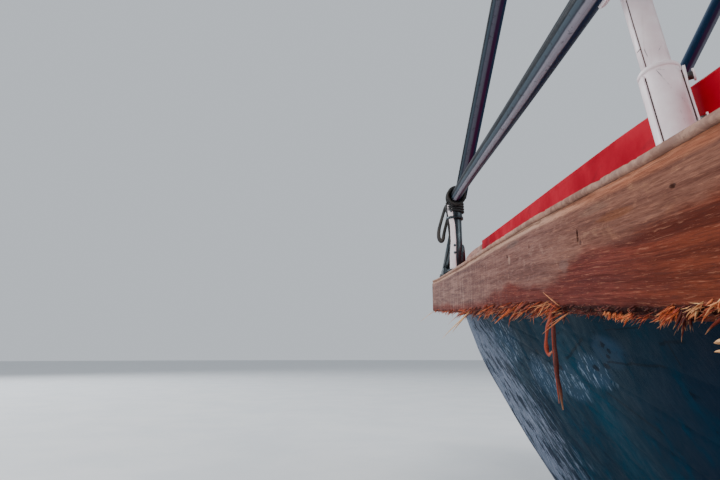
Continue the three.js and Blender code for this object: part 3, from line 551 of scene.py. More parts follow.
def hull_ground(f):
    """Mottled teal, with painted shade that turns it navy aft and low."""
    cloud = f.noise(f.here, 1.6, 5, 0.6)
    teal = f.mix(f.band(cloud, 0.35, 0.65), tone(0, 32, 48), tone(0, 50, 68))
    teal = f.cover(teal, tone(6, 66, 90), f.band(f.mottle, 0.50, 0.68), 0.35)
    teal = f.cover(teal, tone(0, 28, 44), f.band(f.small, 0.50, 0.62), 0.35)
    # Painted shade: darker navy towards the stern and the waterline
    shade = f.plus(f.plus(f.x, f.z, 0.9), f.mottle, 0.5)
    return f.cover(teal, tone(0, 12, 36), f.band(shade, 3.65, 3.0), 0.92)


def hull_painted_sheen(f, paint, slanted, streaks):
    """A painted sheen: a pale band of painted reflected sky beside the stem, and pale and dark streaks in it
    that follow the stem, finer towards the middle.
    """
    stemward = f.minus(f.x, f.z, 1.45)
    wander = f.math("MAXIMUM", f.plus(stemward, f.mottle, 0.05), 1.8)
    spread = f.math("DIVIDE", -108.0, f.minus(wander, 1.2))
    beside = f.node("CombineXYZ", {0: spread, 1: f.times(f.z, 9.0)}).outputs[0]
    runs = f.noise(beside, 1.0, 4, 0.7, 0.2)
    other = f.stretched(beside, (1.5, 1.3, 1), 3, 0.65, 0.2, (5.1, 2.2, 0))
    reach = f.plus(stemward, f.plus(f.plus(streaks, f.mottle, 0.8), f.z, 0.5))
    reach = f.plus(reach, other, 1.2)
    slits = f.stretched(slanted, (26, 30, 260), 4, 0.7, 0.8)
    # The painted sheen's colour: pale lavender grey laid over the teal
    wear_and_sheen_tone = f.mix(f.band(slits, 0.40, 0.56), tone(70, 87, 104), tone(124, 129, 146))
    paint = f.cover(paint, wear_and_sheen_tone, f.band(reach, 5.02, 5.40), 0.85)
    fading = f.band(f.plus(stemward, f.mottle, 0.5), 3.25, 3.95)
    pale_run = f.band(f.plus(other, f.small, 0.12), 0.61, 0.69)
    paint = f.cover(paint, tone(126, 134, 152), pale_run, fading, 0.6)
    dark_run = f.band(f.plus(runs, f.minus(f.small, 0.5), 0.22), 0.52, 0.57)
    return f.cover(paint, tone(4, 24, 42), dark_run, f.band(stemward, 2.5, 3.1), 0.85)


def hull_rubbed(f, paint):
    """Cloudy patches with crisp pale dashes where things have rubbed along the side."""
    dashes = f.stretched(f.here, (85, 30, 34), 3, 0.6, 0.3)
    for at, wide, high, share in HULL_RUBS:
        rubbed = f.spot(f.x, f.z, at, wide, high, f.mottle)
        paint = f.cover(paint, tone(48, 72, 96), rubbed, f.band(f.mottle, 0.36, 0.58, 0.10, 0.5))
        if share:
            paint = f.cover(paint, tone(132, 148, 166), rubbed, share, f.band(dashes, 0.55, 0.62), 0.8)
    return paint


def hull_marked(f, paint, dots):
    """Dark specks, spots and scratches, and weed at the waterline."""
    fine = f.noise(f.here, 130.0, 5, 0.75, 0.4)
    paint = f.cover(paint, tone(3, 16, 30), dots, 0.85)
    for at, wide, high in HULL_MARKS:
        paint = f.cover(paint, tone(3, 16, 30), f.spot(f.x, f.z, at, wide, high, fine), 0.85)
    wavy = f.plus(f.z, f.minus(f.mottle, 0.5), 0.016)
    wavy = f.plus(wavy, f.minus(fine, 0.5), 0.003)
    for start, end, width in HULL_SCRATCHES:
        paint = f.cover(paint, tone(3, 14, 26), f.stroke(f.x, wavy, start, end, width), 0.62)
    weed = f.band(f.plus(f.z, f.mottle, 0.1), 0.10, 0.03)
    return f.cover(paint, tone(30, 42, 28), weed, 0.75)


def hull_finish(name):
    """Old teal paint, scuffed and scratched, with a painted sheen that streaks it pale beside the stem and
    painted shade that turns it navy aft and low.
    """
    f = Finish(name, 0.4, shine=0.02)
    f.x, _, f.z = f.split(f.here)
    f.mottle = f.noise(f.here, 9.0, 6, 0.7, 0.5)
    f.small = f.noise(f.here, 42.0, 6, 0.75, 0.6)
    rake = {"Vector": f.here, "Angle": math.radians(56)}
    slanted = f.node("VectorRotate", rake, rotation_type="Y_AXIS").outputs[0]
    streaks = f.stretched(slanted, (9, 12, 130), 6, 0.75, 0.5)
    dots = f.times(f.band(f.small, 0.60, 0.65), f.band(f.mottle, 0.46, 0.58))
    paint = hull_rubbed(f, hull_painted_sheen(f, hull_ground(f), slanted, streaks))
    paint = hull_marked(f, paint, dots)
    height = f.plus(f.times(f.mottle, 0.5), streaks, 0.4)
    height = f.minus(f.plus(height, f.small, 0.3), dots, 0.4)
    return f.done(paint, f.band(f.mottle, 0.3, 0.7, 0.45, 0.7), f.bump(height, 0.0016))


def paint_finish(name, colour, shade, chipped, rough, chips, shine=0.3, edge_wear=0.0):
    """Brushed paint, dull where it is worn and chipped to what lies under it."""
    f = Finish(name, rough, shine=shine)
    brush = f.stretched(f.here, (9, 120, 120), 4, 0.6, 0.4)
    cloud = f.noise(f.here, 7.0, 5, 0.6)
    chip = f.noise(f.here, 48.0, 6, 0.7, 0.6)
    paint = f.mix(f.band(cloud, 0.35, 0.7), colour, shade)
    gone = f.band(f.plus(chip, cloud, 0.12), chips + 0.06, chips + 0.09)
    paint = f.mix(gone, paint, chipped)
    if edge_wear:
        top = f.plus(f.upward(), f.minus(chip, 0.5), 1.6)
        paint = f.cover(paint, tone(176, 132, 116), f.band(top, 0.62, 0.86), edge_wear)
        scuff = f.stretched(f.here, (3, 20, 26), 6, 0.75, 0.6)
        paint = f.cover(paint, tone(96, 22, 32), f.band(scuff, 0.54, 0.66), 0.35)
    height = f.minus(f.times(brush, 0.4), gone)
    return f.done(paint, f.band(cloud, 0.3, 0.7, rough - 0.12, rough + 0.18), f.bump(height, 0.0008))


def steel_finish(name, colour, shade, rust_share, rough, metal):
    """Dull pipe with fine scratches, water marks and specks of rust."""
    f = Finish(name, rough, metal)
    cloud = f.noise(f.here, 9.0, 5, 0.6)
    fine = f.stretched(f.here, (30, 30, 30), 5, 0.7)
    speck = f.noise(f.here, 120.0, 4, 0.7)
    steel = f.mix(f.band(cloud, 0.3, 0.7), colour, shade)
    rust = f.times(f.band(fine, 0.66 - rust_share, 0.74 - rust_share), f.band(speck, 0.42, 0.58))
    steel = f.mix(rust, steel, f.mix(speck, tone(66, 36, 24), tone(128, 74, 42)))
    metalness = f.minus(metal, rust, metal * 0.8)
    height = f.plus(f.times(fine, 0.3), rust, 0.7)
    rough_map = f.plus(f.band(cloud, 0.3, 0.7, rough - 0.1, rough + 0.14), rust, 0.3)
    return f.done(steel, rough_map, f.bump(height, 0.0005), Metallic=metalness)


def pipe_finish(name):
    """White paint on pipe, dirty and pinkish, with hairline cracks and grime that runs down."""
    f = Finish(name, 0.42)
    runs = f.stretched(f.here, (60, 60, 5), 4, 0.6, 0.3)
    cloud = f.noise(f.here, 14.0, 5, 0.65)
    crack = f.cracks(f.scaled(f.here, (1, 1, 0.55), (0.3, 0, 0)), 20.0)
    paint = f.mix(f.band(cloud, 0.3, 0.7), tone(255, 246, 247), tone(242, 222, 226))
    paint = f.cover(paint, tone(162, 134, 130), f.band(runs, 0.58, 0.80), 0.45)
    split = f.times(f.band(crack, 0.010, 0.002), f.band(cloud, 0.55, 0.64))
    paint = f.cover(paint, tone(66, 50, 48), split, 0.85)
    height = f.minus(f.times(cloud, 0.35), split)
    return f.done(paint, f.band(cloud, 0.3, 0.7, 0.3, 0.6), f.bump(height, 0.0008))


def reflection_banded_pipe_finish(name, pale):
    """Dark paint on pipe with painted reflections: pale, grey, green and dark bands at fixed turns round the
    pipe stand in for a bright sky above and dark water below. The grain map's first number goes round the
    pipe.
    """
    f = Finish(name, 0.45, shine=0.05)
    around = f.split(f.grain)[0]
    run = f.stretched(f.grain, (22, 5, 1), 5, 0.65, 0.3)
    scratch = f.stretched(f.grain, (90, 9, 1), 4, 0.7)
    speck = f.noise(f.here, 90.0, 5, 0.7)
    place = f.plus(around, f.minus(run, 0.5), 0.035)
    # Colours of the painted reflection bands, each fixed to a turn round the pipe
    dark, navy, green = tone(0, 8, 20), tone(20, 46, 74), tone(72, 84, 94)
    grey, steel = tone(62, 68, 80), tone(78, 90, 104)
    stops = [
        (0.0, dark), (0.09, dark), (0.12, steel), (0.30, steel), (0.58, navy), (0.740, navy),
        (0.752, grey), (0.766, pale), (0.842, pale), (0.858, grey), (0.872, grey), (0.884, green),
        (0.926, green), (0.944, dark), (1.0, dark),
    ]
    paint = f.ramp(place, stops)
    paint = f.cover(paint, tone(70, 78, 84), f.band(scratch, 0.50, 0.66), 0.30)
    paint = f.cover(paint, tone(46, 40, 44), f.band(speck, 0.56, 0.66), 0.55)
    # Painted magenta reflection along the pipe's lower side, towards the bow
    under = f.times(f.band(f.apart(around, 0.72), 0.07, 0.02), 0.8)
    paint = f.cover(paint, tone(78, 24, 62), under, f.band(f.split(f.here)[0], 3.1, 3.8))
    return f.done(paint, f.band(run, 0.3, 0.7, 0.30, 0.52), f.bump(f.plus(scratch, speck), 0.0003))


def cloth_finish(name, colour, faded, stain):
    """Woven cloth, faded on its ridges, with water stains."""
    f = Finish(name, 0.85)
    weave = f.times(f.threads("X"), f.threads("Y"))
    cloud = f.noise(f.here, 1.7, 5, 0.6)
    spots = f.noise(f.here, 6.5, 6, 0.7, 0.7)
    cloth = f.mix(f.band(cloud, 0.35, 0.7), colour, faded)
    cloth = f.cover(cloth, stain, f.band(spots, 0.56, 0.7), 0.55)
    cloth = f.cover(cloth, faded, weave, 0.22)
    along = f.split(f.here)[0]
    crease = f.stretched(f.here, (2.2, 7, 7), 6, 0.75, 1.4)
    cloth = f.cover(cloth, stain, f.band(crease, 0.53, 0.62), 0.35)
    for seam in CLOTH_SEAMS:
        off = f.apart(along, seam)
        cloth = f.cover(cloth, colour, f.band(off, 0.024, 0.016), 0.45)
        cloth = f.cover(cloth, tone(30, 40, 50), f.band(f.apart(off, 0.015), 0.0022, 0.0008), 0.7)
    height = f.plus(f.times(weave, 0.4), spots, 0.6)
    height = f.plus(height, crease, 1.2)
    f.shader.inputs["Sheen Weight"].default_value = 0.3
    return f.done(cloth, f.band(cloud, 0.3, 0.7, 0.75, 0.95), f.bump(height, 0.0012))


def shred_finish(name):
    """Torn fibres: the map's first number is a fibre's own tone, the second runs from its root to its tip."""
    f = Finish(name, 0.72, shine=0.2)
    own, out = f.split(f.grain)[:2]
    fibre = f.stretched(f.here, (60, 260, 320), 4, 0.65, 0.4)
    tones = (tone(46, 16, 14), tone(104, 36, 24), tone(156, 62, 38), tone(206, 100, 54), tone(236, 188, 132))
    wood = f.ramp(own, list(zip((0.0, 0.3, 0.5, 0.75, 1.0), tones)))
    wood = f.cover(wood, tone(96, 32, 20), f.band(fibre, 0.48, 0.64), 0.6)
    wood = f.cover(wood, tone(66, 22, 16), f.band(out, 0.35, 0.0), 0.55)
    wood = f.cover(wood, tone(242, 190, 138), f.band(out, 0.7, 1.0), 0.35)
    return f.done(wood, None, f.bump(fibre, 0.0008))


def tank_finish(name):
    f = Finish(name, 0.45)
    cloud = f.noise(f.here, 8.0, 5, 0.6)
    grit = f.noise(f.here, 160.0, 3, 0.6)
    level = f.band(f.plus(f.split(f.here)[2], cloud, 0.02), 0.455, 0.445)
    plastic = f.mix(f.band(cloud, 0.3, 0.7), tone(226, 216, 184), tone(196, 182, 146))
    plastic = f.cover(plastic, tone(150, 112, 66), level, 0.5)
    plastic = f.cover(plastic, tone(92, 80, 62), f.band(cloud, 0.6, 0.8), 0.6)
    return f.done(plastic, f.band(cloud, 0.3, 0.7, 0.38, 0.6), f.bump(grit, 0.0004))


def engine_finish(name, colour, shade, rough, metal, oil):
    """Cast or painted engine metal with oil and dust."""
    f = Finish(name, rough, metal)
    cast = f.noise(f.here, 220.0, 4, 0.65)
    cloud = f.noise(f.here, 11.0, 6, 0.65, 0.4)
    drip = f.stretched(f.here, (34, 34, 7), 5, 0.6)
    paint = f.mix(f.band(cloud, 0.35, 0.65), colour, shade)
    greasy = f.times(f.band(drip, 0.5, 0.66), oil)
    paint = f.mix(greasy, paint, tone(24, 20, 17))
    paint = f.cover(paint, tone(128, 112, 92), f.band(cloud, 0.56, 0.74), 0.4)
    rough_map = f.minus(f.band(cloud, 0.3, 0.7, rough - 0.08, rough + 0.2), greasy, 0.22)
    return f.done(paint, rough_map, f.bump(cast, 0.0006))


def rust_finish(name, dark, middle, light):
    f = Finish(name, 0.8, 0.25)
    cloud = f.noise(f.here, 16.0, 6, 0.7, 0.5)
    grit = f.noise(f.here, 180.0, 4, 0.7)
    rust = f.ramp(cloud, [(0.3, dark), (0.5, middle), (0.7, light)])
    rust = f.cover(rust, tone(38, 30, 28), f.band(grit, 0.5, 0.7), 0.5)
    return f.done(rust, f.band(grit, 0.3, 0.7, 0.65, 0.95), f.bump(f.plus(grit, cloud), 0.0009))


def rubber_finish(name):
    f = Finish(name, 0.75)
    grit = f.noise(f.here, 260.0, 3, 0.6)
    cloud = f.noise(f.here, 12.0, 4, 0.6)
    rubber = f.mix(f.band(cloud, 0.35, 0.7), tone(28, 28, 30), tone(66, 62, 58))
    return f.done(rubber, f.band(cloud, 0.3, 0.7, 0.6, 0.9), f.bump(grit, 0.0004))


def cap_finish(name):
    """Weathered cap boards; the grain map gives x and the distance in from the outer edge."""
    f = Finish(name, 0.8, shine=0.2)
    along, inward = f.split(f.grain)[:2]
    streak = f.stretched(f.grain, (4, 90, 1), 5, 0.65, 0.8)
    fibre = f.stretched(f.grain, (14, 420, 1), 4, 0.7)
    cloud = f.noise(f.here, 5.0, 5, 0.65)
    patch = f.noise(f.here, 46.0, 5, 0.7, 0.5)
    wood = f.mix(f.band(streak, 0.35, 0.65), tone(92, 66, 58), tone(154, 118, 102))
    wood = f.cover(wood, tone(74, 54, 50), f.band(fibre, 0.5, 0.68), 0.5)
    wood = f.cover(wood, tone(150, 132, 124), f.band(cloud, 0.46, 0.7), 0.6)
    rim = f.band(inward, 0.010, 0.003)
    wood = f.cover(wood, f.mix(f.band(patch, 0.42, 0.6), tone(146, 104, 88), tone(190, 146, 122)), rim, 0.5)
    wood = f.cover(wood, tone(70, 44, 40), f.band(patch, 0.62, 0.7), 0.6)
    for joint in CAP_JOINTS:
        line = f.band(f.apart(along, joint), 0.0022, 0.0010)
        wood = f.cover(wood, tone(38, 26, 24), line, 0.85)
    height = f.plus(streak, fibre, 0.6)
    return f.done(wood, f.band(cloud, 0.35, 0.7, 0.88, 0.66), f.bump(height, 0.0014))


LENGTHWISE, CROSSWISE = (5, 70, 70), (70, 5, 70)  # stretch of the grain
FINISH = {
    "plank_wood": plank_finish("plank_wood"),
    "hull_paint": hull_finish("hull_paint"),
    "cap_wood": cap_finish("cap_wood"),
    "white_pipe": pipe_finish("white_pipe"),
    "canopy_cloth": cloth_finish("canopy_cloth", tone(34, 86, 128), tone(110, 146, 172), tone(84, 88, 84)),
    "exhaust_steel": rust_finish("exhaust_steel", tone(48, 30, 26), tone(98, 54, 34), tone(150, 92, 58)),
    "tank_plastic": tank_finish("tank_plastic"),
    "grip_rubber": rubber_finish("grip_rubber"),
}
for make, rows in (
    (paint_finish, (
        ("keel_paint", tone(14, 52, 72), tone(8, 32, 50), tone(70, 60, 52), 0.5, 0.66),
        ("red_paint", tone(184, 0, 36), tone(158, 0, 30), tone(120, 72, 60), 0.6, 0.72, 0.04, 0.8),
    )),
    (board_finish, (
        ("deck_wood", tone(152, 118, 88), tone(88, 62, 44), tone(166, 146, 124), 0.05),
        ("frame_wood", tone(122, 84, 58), tone(66, 42, 30), tone(140, 110, 82), 0.1),
        ("fairing_wood", tone(184, 128, 108), tone(120, 74, 62), tone(200, 160, 140), 0.0, LENGTHWISE, 2.7),
        ("long_boards", tone(146, 114, 86), tone(84, 60, 44), tone(166, 146, 124), 0.1, LENGTHWISE, 1.3),
        ("cross_boards", tone(152, 118, 88), tone(88, 62, 44), tone(170, 150, 128), 0.05, CROSSWISE, 4.1),
        ("cross_timber", tone(124, 88, 62), tone(68, 44, 32), tone(146, 118, 92), 0.1, CROSSWISE, 6.4),
    )),
    (engine_finish, (
        ("engine_iron", tone(62, 84, 78), tone(40, 56, 54), 0.5, 0.3, 0.75),
        ("engine_alloy", tone(160, 160, 156), tone(118, 116, 110), 0.42, 0.8, 0.5),
        ("cleaner_black", tone(30, 31, 34), tone(46, 44, 44), 0.4, 0.2, 0.4),
        ("filter_paint", tone(196, 104, 36), tone(160, 82, 30), 0.4, 0.1, 0.35),
    )),
    (steel_finish, (
        ("rail_steel", tone(78, 88, 92), tone(44, 50, 56), 0.02, 0.30, 0.7),
        ("prop_brass", tone(176, 142, 78), tone(126, 100, 58), -0.1, 0.3, 0.95),
        ("bolt_steel", tone(120, 120, 118), tone(70, 70, 70), 0.1, 0.35, 0.9),
    )),
):
    for name, *values in rows:
        FINISH[name] = make(name, *values)
BOLT = FINISH["bolt_steel"]
SHRED = shred_finish("torn_fibre")
STRAP = rubber_finish("strap_black")
# Pipe and strut paint with painted reflection bands round them; the tone given is the palest band
REFLECTION_BANDED_PIPE = reflection_banded_pipe_finish("reflection_banded_pipe", tone(154, 152, 164))
REFLECTION_BANDED_STRUT = reflection_banded_pipe_finish("reflection_banded_strut", tone(98, 98, 112))
# Dark brown for the lines along the post seams, also used as painted shade beside the sleeve flanges
GRIME_AND_PAINTED_SHADE = rust_finish("grime", tone(40, 28, 34), tone(70, 44, 46), tone(96, 62, 58))


def photo_camera():
    data = bpy.data.cameras.new("photo")
    data.lens, data.sensor_width = LENS, SENSOR
    data.clip_start, data.clip_end = 0.02, 200.0
    camera = placed("photo_camera", data)
    level = math.cos(CAMERA_PITCH)
    ahead = Vector((math.cos(CAMERA_YAW) * level, -math.sin(CAMERA_YAW) * level, math.sin(CAMERA_PITCH)))
    camera.location = CAMERA_AT
    camera.rotation_euler = ahead.to_track_quat("-Z", "Y").to_euler()
    bpy.context.scene.camera = camera


def soft_light(name, at, towards, size, power, colour):
    data = bpy.data.lights.new(name, "AREA")
    data.shape, data.size, data.energy, data.color = "DISK", size, power, colour
    light = placed(name, data)
    light.location = at
    light.rotation_euler = (Vector(towards) - Vector(at)).to_track_quat("-Z", "Y").to_euler()


def studio():
    world = bpy.data.worlds.new("studio")
    world.use_nodes = True
    sky = world.node_tree.nodes["Background"].inputs
    sky[0].default_value, sky[1].default_value = (0.80, 0.86, 0.93, 1), 0.75
    bpy.context.scene.world = world
    soft_light("sky_ahead", (13, 9, 8), (3.5, 0.5, 0.5), 9, 1500, (0.94, 0.97, 1.0))
    soft_light("sky_high", (-1, 3, 12), (0, 0, 0), 10, 900, (1.0, 0.98, 0.95))
    soft_light("near_fill", (-4, 9, 3), (2.5, 0.5, 0.6), 6, 260, (1.0, 0.95, 0.9))
    soft_light("far_fill", (-6, -11, 6), (-1, 0, 1), 8, 700, (0.97, 0.98, 1.0))


HULL_TREE = ray_tree("hull_port")
HULL_X = Lines("hull_port").x
FLOOR_REACH = 60.0


def hull_breadth(x, z):
    """Outer half breadth of the hull at x, z."""
    hit = HULL_TREE.ray_cast(Vector((x, 3, z)), Vector((0, -1, 0)))[0]
    return hit.y if hit else None


def floor():
    """A pale floor at the waterline, open inside the hull."""
    xs = np.linspace(HULL_X[0] - 0.02, HULL_X[-1], 260)
    edge = [(x, hull_breadth(clamp(x, HULL_X[0] + 0.001, 9), 0.0)) for x in xs]
    edge = [(x, y - 0.012) for x, y in edge if y]
    ring = [Vector((x, y, 0)) for x, y in edge] + [Vector((x, -y, 0)) for x, y in reversed(edge)]
    outer = [Vector((p.x, p.y * 6, 0)).normalized() * FLOOR_REACH for p in ring]
    count = len(ring)
    faces = [[i, (i + 1) % count, (i + 1) % count + count, i + count] for i in range(count)]
    f = Finish("floor_pale", 0.7)
    speckle = f.noise(f.here, 2.0, 4, 0.6)
    f.done(f.mix(f.band(speckle, 0.3, 0.7), (0.60, 0.62, 0.64, 1), (0.66, 0.67, 0.68, 1)))
    mesh = bpy.data.meshes.new("floor")
    mesh.from_pydata([tuple(p) for p in ring + outer], [], faces)
    mesh.materials.append(f.material)
    made = placed("floor", mesh)


def rounded_nodes():
    """One modifier for the CAD pieces: joins their facets and shades the round ones smooth."""
    group = bpy.data.node_groups.new("smooth_facets", "GeometryNodeTree")
    for way in ("INPUT", "OUTPUT"):
        group.interface.new_socket("Geometry", in_out=way, socket_type="NodeSocketGeometry")
    new, link = group.nodes.new, group.links.new
    start, end = new("NodeGroupInput"), new("NodeGroupOutput")
    merge = new("GeometryNodeMergeByDistance")
    merge.inputs["Distance"].default_value = JOIN_WITHIN
    faces, edges = new("GeometryNodeSetShadeSmooth"), new("GeometryNodeSetShadeSmooth")
    faces.inputs["Shade Smooth"].default_value = True
    edges.domain = "EDGE"
    edges.inputs["Shade Smooth"].default_value = False
    angle, sharp = new("GeometryNodeInputMeshEdgeAngle"), new("FunctionNodeCompare")
    sharp.inputs["B"].default_value = SHARP_ANGLE
    link(start.outputs[0], merge.inputs["Geometry"])
    link(merge.outputs[0], faces.inputs["Geometry"])
    link(faces.outputs[0], edges.inputs["Geometry"])
    link(angle.outputs["Unsigned Angle"], sharp.inputs["A"])
    link(sharp.outputs[0], edges.inputs["Selection"])
    link(edges.outputs[0], end.inputs[0])
    return group


# Edge radius for the CAD pieces of each finish, in metres
EDGES = {
    "cap_wood": 0.003,
    "deck_wood": 0.003,
    "frame_wood": 0.004,
    "red_paint": 0.004,
    "keel_paint": 0.005,
    "engine_iron": 0.006,
    "engine_alloy": 0.004,
    "hull_paint": 0.003,
}


def dress_nodes():
    """Each CAD piece gets its finish, smooth round faces and eased edges."""
    slots = {row["node"]: row["material_slot"] for row in frame["record"]["subparts"]}
    group = rounded_nodes()
    for name, node in NODES.items():
        slot = slots[name]
        node.data.materials.clear()
        node.data.materials.append(FINISH["cross_timber"] if name == "engine_bed" else FINISH[slot])
        made = node.modifiers.new("facets", "NODES")
        made.node_group = group
        if slot in EDGES:
            bevelled(node, EDGES[slot])


def plank_point(x, across, depth, side):
    """A point of the plank: distance in from its outer face and down from its top."""
    return Vector((x, side * (PLANK.at(x, "outer") - across), PLANK.at(x, "high") - depth))


# Holes in the port plank's face. Columns: x, depth below the cap's top, half length, half height, how deep
PITS = [
    (2.580, 0.0575, 0.0022, 0.0068, 0.008),
    (2.978, 0.0480, 0.0026, 0.0026, 0.007),
    (2.810, 0.0480, 0.0030, 0.0020, 0.003),
    (2.358, 0.0420, 0.0030, 0.0012, 0.003),
]


def torn(x, seed):
    """How far the plank's lower edge is torn away at x."""
    return EDGE_RAGGED * clamp(0.45 + ripple(x * 17, seed, 0) * 0.9 + ripple(x * 90, seed, 5) * 0.6, 0.0, 1.3)


def broken(x, seed):
    """Height of the broken band above the plank's lower edge at x."""
    ragged = 0.55 + 0.9 * ripple(x * 24, seed, 9) + 0.6 * ripple(x * 110, seed, 2)
    return (0.012 if x < 2.66 else 0.009) * clamp(ragged, 0.15, 1.5)


def plank_stations(low, high):
    """Sections close together where the photo looks, and closer at the holes."""
    xs = [*np.arange(low, 2.0, 0.05), *np.arange(2.0, 2.3, 0.006), *np.arange(2.3, 3.0, 0.003)]
    xs += [*np.arange(3.0, high - 0.001, 0.007), high]
    for x, _, half, _, _ in PITS:
        xs += list(np.arange(x - half * 2, x + half * 2, half / 3))
    return np.unique(np.round(xs, 5))


def plank_deep(x):
    return PLANK.at(x, "high") - PLANK.at(x, "low")


def face_inset(x, down, deep, band, seed, side):
    """How far the plank's face lies in from a flat one: chamfer, saw marks, broken band and holes."""
    nick = 0.0022 * clamp(ripple(x * 31, seed, 7) * 2 - 0.3)
    ease = CHAMFER_ACROSS * (1 - smooth(down, 0.0, CHAMFER_DOWN)) ** 1.4
    ease += nick * (1 - smooth(down, 0.004, 0.02))
    rough = 0.0008 * ripple(x * 6, down * 70, seed) + 0.0006 * ripple(x * 45, down * 320, seed + 4)
    across, above = ease + abs(rough), deep - down
    if above < band:
        inward = 0.3 + 0.9 * abs(ripple(x * 60, down * 260, seed))
        across += 0.009 * smooth(band - above, 0.0, band * 0.6) * inward
    for at, depth, half, tall, sunk in PITS if side > 0 else ():
        far = ((x - at) / half) ** 2 + ((down + CAP_DEEP - depth) / tall) ** 2
        if far < 4:
            across += sunk * (1 - smooth(far, 0.4, 1.6))
    return across


def sheer_plank(side_name):
    side = SIDES[side_name]
    seed = PLANK_SEEDS[side]
    low, high = PLANK.x[0], PLANK.x[-1]
    thick = PLANK.at(3.0, "outer") - PLANK.at(3.0, "inner")
    rows = np.linspace(0.004, 0.16, 48)
    parts, rings, uvs, wear = Parts(), [], [], []
    for x in plank_stations(low, high):
        deep, tear, band = plank_deep(x), torn(x, seed), broken(x, seed)
        end = 0.004 * smooth(x, high - 0.006, high)
        profile = [(across, 0.0) for across in np.linspace(thick, CHAMFER_ACROSS, 4)]
        for row in rows:
            down = row / rows[-1] * (deep - 0.001)
            across = face_inset(x, down, deep, band, seed, side)
            profile.append((across, down - tear * smooth(down, deep - 0.02, deep) * (1 - across / thick)))
        profile += [(across, deep) for across in np.linspace(0.014, thick, 5)]
        profile += [(thick, down) for down in np.linspace(deep, 0.0, 6)[1:-1]]
        rings.append([plank_point(x, max(across, end), down, side) for across, down in profile])
        for n, (across, down) in enumerate(profile):
            uvs.append((float(x), (down if across < 0.03 else 0.06 + across) + CAP_DEEP))
            wear.append(deep - down if n < len(profile) - 9 else 0.05)
    parts.rings(rings, True, uvs)
    piece = parts.piece("plank_" + side_name, FINISH["plank_wood"], uv=True, wear=wear)
    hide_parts("sheer_plank_" + side_name)


def cap_board(side_name):
    """The cap and side deck: rounded and nicked outer edge, butt joints, and slight wear on top."""
    side = SIDES[side_name]
    seed = 5.3 if side > 0 else 1.9
    low, high = DECK.x[0], DECK.x[-1]
    xs = [*np.arange(low, 2.0, 0.05), *np.arange(2.0, high - 0.001, 0.006), high]
    xs += [joint + off for joint in CAP_JOINTS for off in (-0.0022, -0.0008, 0.0008, 0.0022)]
    rounded = [(0.0042, 0.0), (0.0016, 0.0008), (0.0004, 0.0028)]
    rounded += [(0.0, 0.0055), (0.0006, 0.0082), (0.0030, 0.0098)]
    parts, rings, uvs = Parts(), [], []
    for x in sorted(xs):
        outer, inner, top = (DECK.at(x, edge) for edge in ("outer", "inner", "high"))
        wide, deep = outer - inner, top - DECK.at(x, "low")
        board = PLANK.at(x, "outer") - PLANK.at(x, "inner") - 0.0015
        joint = 0.0018 if min(abs(x - j) for j in CAP_JOINTS) < 0.001 else 0.0
        nick = 0.0048 * clamp(2.2 * ripple(x * 42, seed, 0) - 0.55)
        nick += 0.0022 * clamp(2.0 * ripple(x * 130, seed, 3) - 0.5)
        wave = abs(0.0007 * ripple(x * 9, seed, 5))
        section = [(a, joint) for a in np.linspace(wide, 0.012, 9)]
        section += [(a + (nick + joint) * (1 - d * 40) + wave, d + joint * (d < 0.002)) for a, d in rounded]
        section += [(board, 0.0098), (board, deep), (wide, deep)]
        rings.append([Vector((x, side * (outer - a), top - d)) for a, d in section])
        uvs += [(x, a) for a, _ in section]
    parts.rings(rings, True, uvs)
    piece = parts.piece("cap_" + side_name, FINISH["cap_wood"], uv=True)
    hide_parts("side_deck_" + side_name)


def split_boards(name, axis, cuts, finish):
    """A wide CAD board cut along its seams into single boards with a narrow gap between them."""
    low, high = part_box(name)
    ends = [low[axis] - 1, *cuts, high[axis] + 1]
    rng = random.Random(len(cuts) + int(100 * high.x))
    points, faces, own = [], [], []
    for start, end in zip(ends, ends[1:]):
        board = bmesh.new()
        board.from_mesh(NODES[name].data)
        bmesh.ops.remove_doubles(board, verts=board.verts, dist=JOIN_WITHIN)
        for place, way in ((start + BOARD_GAP, -1), (end - BOARD_GAP, 1)):
            at, normal = Vector(), Vector()
            at[axis], normal[axis] = place, way
            whole = [*board.verts, *board.edges, *board.faces]
            cut = bmesh.ops.bisect_plane(board, geom=whole, plane_co=at, plane_no=normal, clear_outer=True)
            rim = [part for part in cut["geom_cut"] if isinstance(part, bmesh.types.BMEdge)]
            if rim:
                bmesh.ops.holes_fill(board, edges=rim)
        board.verts.index_update()
        first, drop, shade = len(points), rng.uniform(0, 0.0012), rng.random()
        points += [v.co - Vector((0, 0, drop)) for v in board.verts]
        faces += [[v.index + first for v in face.verts] for face in board.faces]
        own += [shade] * len(board.verts)
        board.free()
    piece = mesh_piece(name + "_boards", points, faces, finish, smooth_shade=False, wear=own)
    bevelled(piece, 0.0028)
    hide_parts(name)


